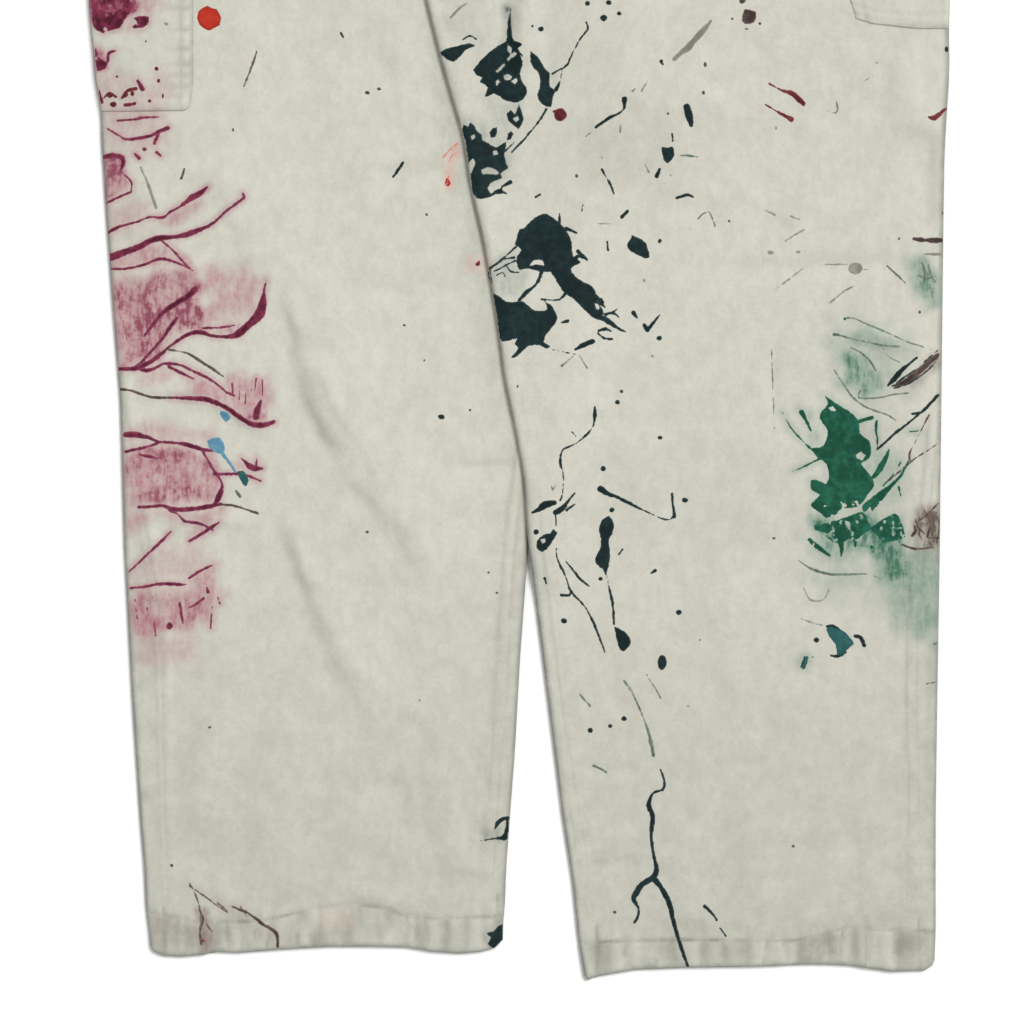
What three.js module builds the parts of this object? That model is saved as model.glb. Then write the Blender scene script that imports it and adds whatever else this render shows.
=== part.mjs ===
// Bib overalls in heavy off-white cotton, laid out flat with the front up and one leg over the other.
// Millimetres, +Z up. The hems point to -Y and the straps to +Y. Left and right are as seen from above.
// "up" is the distance along the garment from the lower hem, and Y follows from it.
import * as THREE from "three";

// Cloth and clearances
const clothWall = 1.2; // one ply of the cloth with its seam fullness
const seamGap = 0.3; // clearance at every seam
const restGap = 0.5; // clearance where one piece lies on another
const legLoft = 1.9; // air between the front and the back of a leg
const rollWidth = 16; // how far in from a side edge the front rolls down to the back

// Garment sizes along its length
const garmentLength = 1545; // hem to the folds of the straps
const leftHemUp = 17; // the left leg is pulled up a little
const rightHemUp = 6;
const hemDepth = 23; // turned-up hem
const hemEase = 3; // length over which the turned-up ply ends
const hemCorner = 6; // how far a hem's corner is rounded off
const legsMeetUp = 282; // below this the legs lie apart
const crotchCloseUp = 890; // above this they join at the centre seams
const waistUp = 1080;
const waistbandDepth = 40;
const bibTopUp = 1400;
const backBibTopUp = 1440;

// Leg over leg
const rampWidth = 40; // length of cloth that climbs from the floor onto the lower leg
const rampLead = 10; // the climb ends this far outside the lower leg's edge
const rampLag = 20; // and follows that edge this far behind, so that it clears the crotch

// Bib, straps and fastenings
const bibLoft = 0.8; // air between the bib and the back bib
const bibHemDepth = 22;
const strapWidth = 38;
const strapWall = 2;
const buckleWall = 2.4;
const backStrapX = 68; // strap centres on the back bib
const frontStrapX = 95; // strap centres on the bib
const bibButtonUp = 1352;
const buttonHeadRadius = 8.5;
const buttonNeckRadius = 2.8;
const buttonHeadHeight = 3;
const sideButtonInset = 17;
const sideButtonUps = [1058, 992];

// Outline of the legs, a row for each section. Outer edges are the outseams and inner edges the inseams.
const legSections = [
  { up: 0, outerLeft: -239, innerLeft: -11, innerRight: 40, outerRight: 268.5 },
  { up: 45, outerLeft: -242.5, innerLeft: -9.7, innerRight: 36, outerRight: 269.6 },
  { up: 110, outerLeft: -246.2, innerLeft: -7.1, innerRight: 27.2, outerRight: 269.8 },
  { up: 180, outerLeft: -251.4, innerLeft: -1.6, innerRight: 18.5, outerRight: 270.4 },
  { up: 250, outerLeft: -254.7, innerLeft: 2.6, innerRight: 9.7, outerRight: 271.6 },
  { up: 320, outerLeft: -257.9, innerLeft: 9.1, innerRight: 2.9, outerRight: 272.6 },
  { up: 390, outerLeft: -260.2, innerLeft: 18.1, innerRight: -10, outerRight: 273.4 },
  { up: 460, outerLeft: -265.7, innerLeft: 29.2, innerRight: -20.4, outerRight: 274.2 },
  { up: 530, outerLeft: -270.2, innerLeft: 42.1, innerRight: -34.3, outerRight: 275.2 },
  { up: 600, outerLeft: -276.7, innerLeft: 54.4, innerRight: -52.1, outerRight: 277.6 },
  { up: 636, outerLeft: -279.9, innerLeft: 60.9, innerRight: -60.9, outerRight: 278.6 },
  { up: 700, outerLeft: -282, innerLeft: 70, innerRight: -74.5, outerRight: 280.6 },
  { up: 760, outerLeft: -283, innerLeft: 77.8, innerRight: -82.9, outerRight: 282 },
  { up: 800, outerLeft: -283, innerLeft: 74, innerRight: -80, outerRight: 283 },
  { up: 830, outerLeft: -283, innerLeft: 55, innerRight: -60, outerRight: 283 },
  { up: 855, outerLeft: -282, innerLeft: 25, innerRight: -28, outerRight: 282 },
  { up: 880, outerLeft: -281, innerLeft: -0.15, innerRight: 0.15, outerRight: 281 },
  { up: 950, outerLeft: -274, innerLeft: -0.15, innerRight: 0.15, outerRight: 274 },
  { up: 1080, outerLeft: -252, innerLeft: -0.15, innerRight: 0.15, outerRight: 252 },
];

// Sections where the panels carry a row of points, besides their hems
const panelRows = [
  45, 80, 110, 150, 180, 215, 250, 282, 320, 355, 390, 425, 460, 495, 530, 565,
  600, 636, 700, 760, 800, 830, 855, 868, 880, 905, 950, 1015, 1080,
];

// Half widths of the upper pieces
const bibSections = [
  { up: 1120, half: 165 },
  { up: 1260, half: 142 },
  { up: 1400, half: 125 },
];
const backBibSections = [
  { up: 1080, half: 251 },
  { up: 1115, half: 238 },
  { up: 1160, half: 205 },
  { up: 1230, half: 160 },
  { up: 1320, half: 122 },
  { up: 1440, half: 96 },
];

// The largest folds of the leg fronts: a line across the cloth, its half width and its height.
// A negative height is a trough.
const largeFolds = [
  { leg: "Left", x1: -214, up1: 539, x2: -150, up2: 405, half: 15, height: -0.9 },
  { leg: "Left", x1: -165, up1: 430, x2: -55, up2: 228, half: 17, height: -1.1 },
  { leg: "Left", x1: -180, up1: 513, x2: -112, up2: 365, half: 18, height: 1.3 },
  { leg: "Left", x1: -167, up1: 331, x2: -94, up2: 150, half: 20, height: -0.8 },
  { leg: "Left", x1: -215, up1: 130, x2: -160, up2: 60, half: 26, height: -0.7 },
  { leg: "Right", x1: 16, up1: 760, x2: 16, up2: 580, half: 16, height: 1.2 },
  { leg: "Right", x1: 247, up1: 610, x2: 251, up2: 520, half: 18, height: 1.1 },
  { leg: "Right", x1: 55, up1: 540, x2: 78, up2: 600, half: 30, height: -0.9 },
  { leg: "Right", x1: 110, up1: 462, x2: 225, up2: 466, half: 18, height: -0.8 },
  { leg: "Right", x1: 160, up1: 400, x2: 182, up2: 340, half: 20, height: 0.9 },
];

const cotton = { color: 0xd6d4c8, roughness: 0.92, metalness: 0 };
const nickel = { color: 0xb4b0a6, roughness: 0.38, metalness: 1 };

const overalls = new THREE.Group();
overalls.position.y = -(garmentLength + rightHemUp) / 2;

function clamp(value, low, high) {
  return Math.min(high, Math.max(low, value));
}

function smooth(share) {
  const s = clamp(share, 0, 1);
  return s * s * (3 - 2 * s);
}

function mix(a, b, share) {
  return a + (b - a) * share;
}

// A named column of a section table at any distance up the garment.
function columnAt(sections, column, up) {
  const last = sections.length - 1;
  if (up <= sections[0].up) return sections[0][column];
  if (up >= sections[last].up) return sections[last][column];
  const above = sections.findIndex((row) => row.up > up);
  const low = sections[above - 1];
  const high = sections[above];
  return mix(low[column], high[column], (up - low.up) / (high.up - low.up));
}

function addPiece(name, geometry, finish) {
  const mesh = new THREE.Mesh(geometry, new THREE.MeshStandardMaterial(finish));
  mesh.name = name;
  overalls.add(mesh);
  return mesh;
}

// A closed wall from a grid of points, each with a low and a high side.
// Rows run up the garment and columns run to the right.
function closedWall(grid) {
  const rows = grid.length;
  const columns = grid[0].length;
  const positions = [];
  grid.forEach((row) =>
    row.forEach((point) => positions.push(...point.low, ...point.high)),
  );
  const low = (row, column) => 2 * (row * columns + column);
  const high = (row, column) => low(row, column) + 1;
  const faces = [];
  const quad = (a, b, c, d) => faces.push(a, b, c, a, c, d);
  for (let row = 0; row < rows - 1; row++) {
    for (let column = 0; column < columns - 1; column++) {
      quad(
        high(row, column),
        high(row, column + 1),
        high(row + 1, column + 1),
        high(row + 1, column),
      );
      quad(
        low(row, column),
        low(row + 1, column),
        low(row + 1, column + 1),
        low(row, column + 1),
      );
    }
    const right = columns - 1;
    quad(high(row, 0), high(row + 1, 0), low(row + 1, 0), low(row, 0));
    quad(low(row, right), low(row + 1, right), high(row + 1, right), high(row, right));
  }
  const top = rows - 1;
  for (let column = 0; column < columns - 1; column++) {
    quad(low(0, column), low(0, column + 1), high(0, column + 1), high(0, column));
    quad(high(top, column), high(top, column + 1), low(top, column + 1), low(top, column));
  }
  const geometry = new THREE.BufferGeometry();
  geometry.setAttribute("position", new THREE.Float32BufferAttribute(positions, 3));
  geometry.setIndex(faces);
  geometry.computeVertexNormals();
  return geometry;
}

// Places across a panel: close together at both edges, then evenly spaced.
function placesAcross(left, right, insets, middleCount) {
  const inner = insets[insets.length - 1];
  const places = insets.map((inset) => left + inset);
  for (let step = 1; step < middleCount; step++) {
    places.push(mix(left + inner, right - inner, step / middleCount));
  }
  return places.concat(insets.map((inset) => right - inset).reverse());
}

// A cloth panel: rows of points between two edges, with its under side and its own wall.
function panel({ rows, left, right, insets, middleCount, under, wall }) {
  return closedWall(
    rows.map((up) =>
      placesAcross(left(up), right(up), insets, middleCount).map((x) => ({
        low: [x, up, under(x, up)],
        high: [x, up, under(x, up) + wall(up)],
      })),
    ),
  );
}

// Wall of a leg panel: two plies where the hem is turned up.
function legWall(hemUp) {
  return (up) => clothWall * (2 - smooth((up - hemUp - hemDepth) / hemEase));
}

// How far a front has risen from its side edges, from 0 at an edge to 1 inside.
function roll(x, left, right) {
  return smooth(Math.min(x - left, right - x) / rollWidth);
}

function foldHeight(leg, x, up) {
  return largeFolds
    .filter((fold) => fold.leg === leg)
    .reduce((sum, fold) => {
      const dx = fold.x2 - fold.x1;
      const dUp = fold.up2 - fold.up1;
      const length = Math.hypot(dx, dUp);
      const along = ((x - fold.x1) * dx + (up - fold.up1) * dUp) / (length * length);
      const across = ((x - fold.x1) * dUp - (up - fold.up1) * dx) / length;
      const ends = smooth(along * 3) * smooth((1 - along) * 3);
      return sum + fold.height * ends * Math.exp(-((across / fold.half) ** 2));
    }, 0);
}

const edge = (column) => (up) => columnAt(legSections, column, up);
const outerLeft = edge("outerLeft");
const innerLeft = edge("innerLeft");
const innerRight = edge("innerRight");
const outerRight = edge("outerRight");
const leftWall = legWall(leftHemUp);
const rightWall = legWall(rightHemUp);

// Height of the upper leg's under side above the floor: full on the lower leg, down to the floor beside it.
function climb(x, up) {
  const full = 2 * clothWall + seamGap + legLoft + restGap;
  const beyondUp = Math.max(legsMeetUp - up, up - crotchCloseUp, 0);
  const edgeX = innerLeft(clamp(up, legsMeetUp + rampLag, crotchCloseUp) - rampLag);
  const beyondX = Math.max(x - edgeX - rampLead, 0);
  return full * smooth(1 - Math.hypot(beyondX, beyondUp) / rampWidth);
}

// Above the crotch the fronts are sewn to each other, so they no longer roll down at the centre.
function joinedAtCentre(up) {
  return rollWidth * smooth((up - crotchCloseUp) / rampWidth);
}

function leftFrontUnder(x, up) {
  const rise = roll(x, outerLeft(up), innerLeft(up) + joinedAtCentre(up));
  const shown = smooth((innerRight(up) - x) / (2 * rollWidth));
  return leftWall(up) + seamGap + rise * (legLoft + shown * foldHeight("Left", x, up));
}

function rightFrontUnder(x, up) {
  const rise = roll(x, innerRight(up) - joinedAtCentre(up), outerRight(up));
  return climb(x, up) + rightWall(up) + seamGap + rise * (legLoft + foldHeight("Right", x, up));
}

// Rows of a leg panel, with the end of the turned-up hem and a rounded corner.
function legRows(hemUp) {
  const hemRows = [hemUp, hemUp + hemCorner, hemUp + hemDepth, hemUp + hemDepth + hemEase];
  return hemRows.concat(panelRows.filter((up) => up > hemUp + hemDepth + 2 * hemEase));
}

function corner(hemUp, up) {
  return hemCorner * (1 - smooth((up - hemUp) / hemCorner));
}

const frontInsets = [0, 5, 10, rollWidth];
const frontMiddle = 9;
const backInsets = [0, rollWidth];
const backMiddle = 8;

function legPanels() {
  const legs = [
    {
      side: "left",
      hemUp: leftHemUp,
      edges: [outerLeft, innerLeft],
      wall: leftWall,
      backUnder: () => 0,
      frontUnder: leftFrontUnder,
    },
    {
      side: "right",
      hemUp: rightHemUp,
      edges: [innerRight, outerRight],
      wall: rightWall,
      backUnder: climb,
      frontUnder: rightFrontUnder,
    },
  ];
  legs.forEach((leg) => {
    const common = {
      rows: legRows(leg.hemUp),
      left: (up) => leg.edges[0](up) + corner(leg.hemUp, up),
      right: (up) => leg.edges[1](up) - corner(leg.hemUp, up),
      wall: leg.wall,
    };
    addPiece(
      `${leg.side}_leg_back`,
      panel({ ...common, insets: backInsets, middleCount: backMiddle, under: leg.backUnder }),
      cotton,
    );
    addPiece(
      `${leg.side}_leg_front`,
      panel({ ...common, insets: frontInsets, middleCount: frontMiddle, under: leg.frontUnder }),
      cotton,
    );
  });
}

// Patch pockets on the leg fronts, each caught in its outseam.
function pocket({ name, bottomUp, topUp, width, onLeft }) {
  const rowCount = 6;
  const rows = Array.from({ length: rowCount + 1 }, (_, row) =>
    mix(bottomUp, topUp, row / rowCount),
  );
  const outer = onLeft ? outerLeft : outerRight;
  const under = onLeft ? leftFrontUnder : rightFrontUnder;
  const seam = (up) => outer(up) + (onLeft ? seamGap : -seamGap);
  const free = (up) => outer(up) + (onLeft ? width : -width);
  const steps = [0, 5, 10, rollWidth, 28, 44, width];
  const across = (up) => {
    const places = steps.map((step) => mix(seam(up), free(up), step / width));
    return onLeft ? places : places.reverse();
  };
  const grid = rows.map((up) =>
    across(up).map((x) => {
      const floor = under(x, up) + clothWall + restGap;
      return { low: [x, up, floor], high: [x, up, floor + clothWall] };
    }),
  );
  addPiece(name, closedWall(grid), cotton);
}

function pockets() {
  pocket({ name: "left_tool_pocket", bottomUp: 564, topUp: 786, width: 60, onLeft: true });
  pocket({ name: "right_side_pocket", bottomUp: 618, topUp: 850, width: 63, onLeft: false });
}

function evenRows(low, high, count) {
  return Array.from({ length: count + 1 }, (_, row) => mix(low, high, row / count));
}

const bibUnderAtSide = clothWall + seamGap;

// The strip between the leg fronts and the bib, two plies thick.
function frontWaistband() {
  const low = waistUp + seamGap;
  const high = waistUp + waistbandDepth - seamGap;
  const half = (up) => columnAt(backBibSections, "half", up) - seamGap;
  const under = (x, up) => bibUnderAtSide + legLoft * roll(x, -half(up), half(up));
  addPiece(
    "front_waistband",
    panel({
      rows: evenRows(low, high, 2),
      left: (up) => -half(up),
      right: half,
      insets: frontInsets,
      middleCount: frontMiddle,
      under,
      wall: () => 2 * clothWall,
    }),
    cotton,
  );
}

function bibWall(up) {
  return clothWall * (1 + smooth((up - bibTopUp + bibHemDepth + hemEase) / hemEase));
}

// The bib falls from the waistband's height to lie close on the back bib.
function bibUnder(x, up) {
  const half = columnAt(bibSections, "half", up);
  const fall = smooth((up - waistUp - waistbandDepth) / waistbandDepth);
  return bibUnderAtSide + mix(legLoft, bibLoft, fall) * roll(x, -half, half);
}

function bibFront() {
  const half = (up) => columnAt(bibSections, "half", up);
  const hemStart = bibTopUp - bibHemDepth;
  const rows = evenRows(waistUp + waistbandDepth, hemStart - hemEase, 6);
  addPiece(
    "bib_front",
    panel({
      rows: rows.concat([hemStart, bibTopUp]),
      left: (up) => -half(up),
      right: half,
      insets: frontInsets,
      middleCount: frontMiddle,
      under: bibUnder,
      wall: bibWall,
    }),
    cotton,
  );
}

function backBib() {
  const half = (up) => columnAt(backBibSections, "half", up);
  const rows = backBibSections.map((row) => row.up);
  rows[0] += seamGap;
  addPiece(
    "back_bib",
    panel({
      rows,
      left: (up) => -half(up),
      right: half,
      insets: backInsets,
      middleCount: backMiddle,
      under: () => 0,
      wall: () => clothWall,
    }),
    cotton,
  );
}

// Buckle: a stamped plate with a slot for the strap and a keyhole for the button.
// Its own origin is at the button, and +Y points up the strap.
const buckle = {
  tipRadius: 8,
  holeRadius: 9.8,
  holeUp: 14,
  neckHalf: 4,
  waistHalf: 14,
  topHalf: 25,
  shoulderUp: 25,
  topUp: 40,
  topCorner: 4,
  slotLow: 28,
  slotHigh: 36.6,
  slotHalf: 20.5,
};
const bibTop = bibUnderAtSide + bibLoft + 2 * clothWall;
const barHalf = (buckle.topUp - buckle.slotHigh) / 2;
const barRadius = Math.hypot(barHalf, buckleWall / 2) + restGap + strapWall / 2;
const buckleBase = bibTop + restGap + barRadius + strapWall / 2 - buckleWall / 2;

function bucklePlate() {
  const b = buckle;
  const outline = new THREE.Shape();
  outline.moveTo(b.tipRadius, 0);
  outline.lineTo(b.waistHalf, b.holeUp);
  outline.lineTo(b.topHalf, b.shoulderUp);
  outline.lineTo(b.topHalf, b.topUp - b.topCorner);
  outline.absarc(b.topHalf - b.topCorner, b.topUp - b.topCorner, b.topCorner, 0, Math.PI / 2);
  outline.lineTo(-b.topHalf + b.topCorner, b.topUp);
  outline.absarc(
    -b.topHalf + b.topCorner,
    b.topUp - b.topCorner,
    b.topCorner,
    Math.PI / 2,
    Math.PI,
  );
  outline.lineTo(-b.topHalf, b.shoulderUp);
  outline.lineTo(-b.waistHalf, b.holeUp);
  outline.lineTo(-b.tipRadius, 0);
  outline.absarc(0, 0, b.tipRadius, Math.PI, 2 * Math.PI);

  const slot = new THREE.Path();
  slot.moveTo(-b.slotHalf, b.slotLow);
  slot.lineTo(b.slotHalf, b.slotLow);
  slot.lineTo(b.slotHalf, b.slotHigh);
  slot.lineTo(-b.slotHalf, b.slotHigh);
  slot.closePath();

  const keyhole = new THREE.Path();
  const open = Math.asin(b.neckHalf / b.holeRadius);
  keyhole.absarc(0, b.holeUp, b.holeRadius, -Math.PI / 2 + open, 1.5 * Math.PI - open);
  keyhole.lineTo(-b.neckHalf, 0);
  keyhole.absarc(0, 0, b.neckHalf, Math.PI, 2 * Math.PI);
  keyhole.closePath();
  outline.holes.push(slot, keyhole);
  return new THREE.ExtrudeGeometry(outline, {
    depth: buckleWall,
    bevelEnabled: false,
    curveSegments: 10,
  });
}

// A tack button: a round neck with a low domed head, standing on the cloth.
function tackButton(neckHeight) {
  const profile = [
    new THREE.Vector2(0, 0),
    new THREE.Vector2(buttonNeckRadius, 0),
    new THREE.Vector2(buttonNeckRadius, neckHeight),
    new THREE.Vector2(buttonHeadRadius, neckHeight),
    new THREE.Vector2(buttonHeadRadius, neckHeight + buttonHeadHeight * 0.5),
    new THREE.Vector2(buttonHeadRadius * 0.75, neckHeight + buttonHeadHeight * 0.9),
    new THREE.Vector2(0, neckHeight + buttonHeadHeight),
  ];
  const sides = 20;
  return new THREE.LatheGeometry(profile, sides).rotateX(Math.PI / 2);
}

// A strap: from the back bib along the floor, folded over, then down over the bib,
// round the buckle's top bar and back under itself. Its middle line is drawn in the plane of up and z.
function strapPath() {
  const half = strapWall / 2;
  const floor = half;
  const onBackBib = clothWall + restGap + half;
  const barUp = bibButtonUp + buckle.topUp - barHalf;
  const barZ = buckleBase + buckleWall / 2;
  const foldRadius = 1.5;
  const foldUp = garmentLength - half - foldRadius;
  const returnLength = 42;
  const path = [
    { up: backBibTopUp - 26, z: onBackBib },
    { up: backBibTopUp + 1, z: onBackBib },
    { up: backBibTopUp + 9, z: mix(onBackBib, floor, 0.6) },
    { up: backBibTopUp + 18, z: floor },
  ];
  halfTurn(path, foldUp, floor + foldRadius, foldRadius, -1);
  path.push({ up: foldUp - 22, z: floor + 2 * foldRadius });
  path.push({ up: barUp + returnLength + 22, z: barZ + barRadius - 1.2 });
  path.push({ up: barUp + returnLength, z: barZ + barRadius });
  halfTurn(path, barUp, barZ, barRadius, 1);
  path.push({ up: barUp + returnLength, z: barZ - barRadius });
  return path;
}

// A half turn of the strap about a line across it. A turn of -1 climbs at the far end,
// and a turn of 1 goes down round the buckle's bar.
function halfTurn(path, up, z, radius, turn) {
  const steps = 6;
  for (let step = 0; step <= steps; step++) {
    const angle = (Math.PI * step) / steps;
    path.push({
      up: up - turn * radius * Math.sin(angle),
      z: z + turn * radius * Math.cos(angle),
    });
  }
}

function strap(side) {
  const path = strapPath();
  const lengths = path.map((point, i) =>
    i ? Math.hypot(point.up - path[i - 1].up, point.z - path[i - 1].z) : 0,
  );
  const turnAt = path.reduce((best, point, i) => (point.up > path[best].up ? i : best), 0);
  const lower = lengths.slice(0, turnAt + 1).reduce((a, b) => a + b, 0);
  let run = 0;
  const grid = path.map((point, i) => {
    run += lengths[i];
    const before = path[Math.max(i - 1, 0)];
    const after = path[Math.min(i + 1, path.length - 1)];
    const length = Math.hypot(after.up - before.up, after.z - before.z);
    const normalUp = -(after.z - before.z) / length;
    const normalZ = (after.up - before.up) / length;
    const centre = side * mix(backStrapX, frontStrapX, Math.min(run / lower, 1));
    const place = (x, offset) => [
      x,
      point.up + normalUp * offset,
      point.z + normalZ * offset,
    ];
    return [-1, 1].map((end) => {
      const x = centre + (end * strapWidth) / 2;
      return { low: place(x, -strapWall / 2), high: place(x, strapWall / 2) };
    });
  });
  return closedWall(grid);
}

function fastenings() {
  [
    { side: "left", sign: -1 },
    { side: "right", sign: 1 },
  ].forEach(({ side, sign }) => {
    addPiece(`strap_${side}`, strap(sign), cotton);
    const plate = addPiece(`buckle_${side}`, bucklePlate(), nickel);
    plate.position.set(sign * frontStrapX, bibButtonUp, buckleBase);
    const bibAtButton = bibUnder(frontStrapX, bibButtonUp) + clothWall + seamGap;
    const neck = buckleBase + buckleWall + seamGap - bibAtButton;
    const button = addPiece(`bib_button_${side}`, tackButton(neck), nickel);
    button.position.set(sign * frontStrapX, bibButtonUp, bibAtButton);
    sideButtonUps.forEach((up, i) => {
      const onLeft = sign < 0;
      const x = onLeft ? outerLeft(up) + sideButtonInset : outerRight(up) - sideButtonInset;
      const under = onLeft ? leftFrontUnder : rightFrontUnder;
      const sideButton = addPiece(`side_button_${side}_${i + 1}`, tackButton(1), nickel);
      sideButton.position.set(x, up, under(x, up) + clothWall + restGap);
    });
  });
}

legPanels();
pockets();
frontWaistband();
bibFront();
backBib();
fastenings();

export default overalls;
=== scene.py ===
import bpy
import numpy as np
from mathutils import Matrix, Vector
from mathutils.bvhtree import BVHTree


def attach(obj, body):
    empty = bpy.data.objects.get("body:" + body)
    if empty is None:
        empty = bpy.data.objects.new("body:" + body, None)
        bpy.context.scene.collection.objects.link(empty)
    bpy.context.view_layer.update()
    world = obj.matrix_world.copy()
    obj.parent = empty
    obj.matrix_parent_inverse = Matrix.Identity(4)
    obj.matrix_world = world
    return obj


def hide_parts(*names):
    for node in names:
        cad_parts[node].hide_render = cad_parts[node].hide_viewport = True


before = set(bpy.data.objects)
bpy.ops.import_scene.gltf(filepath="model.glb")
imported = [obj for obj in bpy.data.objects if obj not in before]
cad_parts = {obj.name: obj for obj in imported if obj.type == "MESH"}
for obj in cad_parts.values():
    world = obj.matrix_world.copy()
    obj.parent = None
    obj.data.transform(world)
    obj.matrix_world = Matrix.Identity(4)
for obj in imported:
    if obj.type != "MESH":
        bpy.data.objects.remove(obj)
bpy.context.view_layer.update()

# Bib overalls laid flat. Shapes are worked out in millimetres as (x, up, z): x to the right, up along the
# garment from its lower hem, z out of the surface. Left and right are as seen from above.
halfLength = 775.5  # up where row Y is 0
noiseCells = 64  # after this many bumps a noise repeats

# Cloth of the legs
cloth = {
    "wall": 1.0,  # one ply with its nap
    "thickness": 4.4,  # front and back of a leg with the air between them
    "edgeRadius": 2.2,  # the front turns under round this at a side edge
    "reliefInset": 12,  # creases reach full height this far in from an edge
    "hemPly": 0.6,  # how much a hem stands above the cloth over it
    "hemLip": 2.2,  # roundness of a hem's edge
    "hemLipBase": 2.6,  # height of the front hem's edge above the floor
    "billow": [(60, 0.75, 11), (27, 0.24, 12), (12, 0.26, 13), (5.5, 0.13, 14)],  # size, height and seed
    "creaseScale": 2.1,  # the heights below are for cloth smoothed by hand; as it lies they are more
}
legsMeetUp = 282  # below this the legs lie apart
crotchUp = 890  # above this they join at the centre
waistUp = 1080

# Side edges as (x, up) and hem edges, read off the photo; above 636 they follow the part's own sections
hip = [(283, 800), (283, 830), (282, 855), (281, 880), (274, 950), (252, 1080)]
upperOuterLeft = [(-282, 700), (-283, 760)] + [(-x, up) for x, up in hip]
upperInnerLeft = [(70, 700), (77.8, 760), (74, 800), (55, 830), (25, 855)]
upperInnerLeft += [(-0.1, 880), (-0.1, 950), (-0.1, 1080)]
upperInnerRight = [(-74.5, 700), (-82.9, 760), (-80, 800), (-60, 830), (-28, 855)]
upperInnerRight += [(0.1, 880), (0.1, 950), (0.1, 1080)]
upperOuterRight = [(280.6, 700), (282, 760)] + hip
legs = {
    "left": {
        "hemUp": 17,
        "left": [
            (-239.8, 22), (-242.4, 42), (-243.6, 73), (-246.2, 104), (-251.4, 182), (-256.6, 282.5),
            (-259.2, 376.5), (-264.4, 441), (-268.9, 506), (-270.2, 528), (-271.5, 545), (-271.5, 561),
            (-273.5, 573.5), (-276, 586.5), (-276.7, 602.5), (-278.6, 619.5), (-279.9, 636),
        ] + upperOuterLeft,
        "right": [
            (-11, 26.5), (-9.7, 44.7), (-9.1, 68.7), (-7.1, 97.8), (-3.2, 149.7), (0, 208), (5.2, 279.5),
            (9.1, 320), (18.1, 390), (29.2, 460), (42.1, 530), (54.4, 600), (60.9, 636),
        ] + upperInnerLeft,
        "hem": [
            (-239.8, 23), (-237.5, 19), (-231.3, 16.2), (-219, 15.6), (-204.8, 16.8), (-199.6, 18.6),
            (-182, 18.1), (-156, 20.1), (-123, 22), (-93.3, 22), (-72.6, 21.4), (-57, 18.8), (-39.5, 17.5),
            (-24.6, 18.8), (-15.6, 21.4), (-11, 26.6),
        ],
        "stitch": [
            (-239.8, 44.7), (-223.6, 40.8), (-207.4, 38.2), (-168.5, 38.4), (-129.6, 47.5), (-100.4, 48.8),
            (-84.2, 46), (-74.5, 41.5), (-51.8, 40.2), (-19.4, 41.5), (-7.8, 42.8),
        ],
        "corner": [(-231.5, 10, 52, 1.8, 1.2), (-14.5, 18, 60, 1.8, 0.6)],  # folds of the seams in the hem
        "puckers": [  # x, half width, depth, slant over the hem
            (-225, 2.6, 0.8, 2), (-216.5, 2.2, 0.7, -1), (-207.5, 2.6, 0.9, 1), (-197.5, 3, 1.0, 2),
            (-191, 2, 0.6, 0), (-181.5, 2.6, 0.8, -2), (-171.5, 2.6, 0.8, 1), (-163, 2.4, 0.9, 2),
            (-144.5, 3, 0.9, -1), (-131, 2.4, 0.7, 0), (-112, 3.4, 0.5, 2), (-93, 3, 0.6, -2),
            (-74.5, 2.4, 0.8, 1), (-68, 2.2, 0.7, 0), (-61.5, 2.4, 0.8, -1), (-48.5, 2.8, 0.8, 1),
            (-36, 2.4, 0.6, 0), (-24, 2.4, 0.7, -1),
        ],
    },
    "right": {
        "hemUp": 6,
        "left": [
            (43.2, 1), (41.6, 5.2), (37.6, 26.6), (34.3, 63), (27.9, 104.3), (6.5, 276), (5.2, 282.5),
            (2.6, 324.6), (-3.2, 358.3), (-9.7, 387.5), (-13.6, 417.3), (-18.1, 447.1), (-23.3, 476.9),
            (-32.4, 516.5), (-36.9, 548.2), (-45.4, 576.1), (-53.1, 603.9), (-60.9, 635.7),
        ] + upperInnerRight,
        "right": [
            (268.9, 13.6), (269.6, 20), (269.6, 104), (270.6, 180), (272.2, 276), (274.8, 506),
            (275.4, 536.5), (276.7, 561), (278, 578), (278.6, 599), (278.1, 611), (278.6, 636),
        ] + upperOuterRight,
        "hem": [
            (37, 9), (40.8, 4.5), (44, 0.3), (49.2, 2.6), (75.2, 7.1), (108.9, 8.4), (158.1, 9.1),
            (181.4, 10.4), (200.9, 10.4), (213.8, 9.7), (226.8, 7.8), (241, 5.8), (262.4, 6.5),
            (267.5, 10), (269.5, 15),
        ],
        "stitch": [
            (40.8, 24.6), (48.6, 25.3), (103.7, 26.6), (158.8, 25.9), (178.2, 25.9), (194.4, 29.2),
            (210.6, 34.6), (226.8, 33), (246.2, 33), (269, 31.8),
        ],
        "corner": [(49.5, 0, 40, 1.6, 1.1), (258.5, 4, 44, 1.6, 0.9)],
        "puckers": [
            (47.3, 2.6, 0.8, 1), (68, 3, 0.8, -1), (78, 2, 0.5, 0), (88.8, 2.6, 0.8, 2), (98.5, 2.4, 0.7, -1),
            (116.6, 3, 0.8, 1), (130.9, 2.6, 0.7, 0), (147, 2.2, 0.6, 0), (158.8, 2.8, 0.9, 2),
            (171.7, 2.6, 0.8, -1), (179.5, 2.4, 0.7, 1), (198.9, 3, 0.9, -2), (207.4, 2.6, 0.9, 2),
            (223.6, 2.8, 0.8, 0), (243.6, 3, 0.9, 1), (262.4, 2.4, 0.7, -1),
        ],
    },
}

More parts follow.
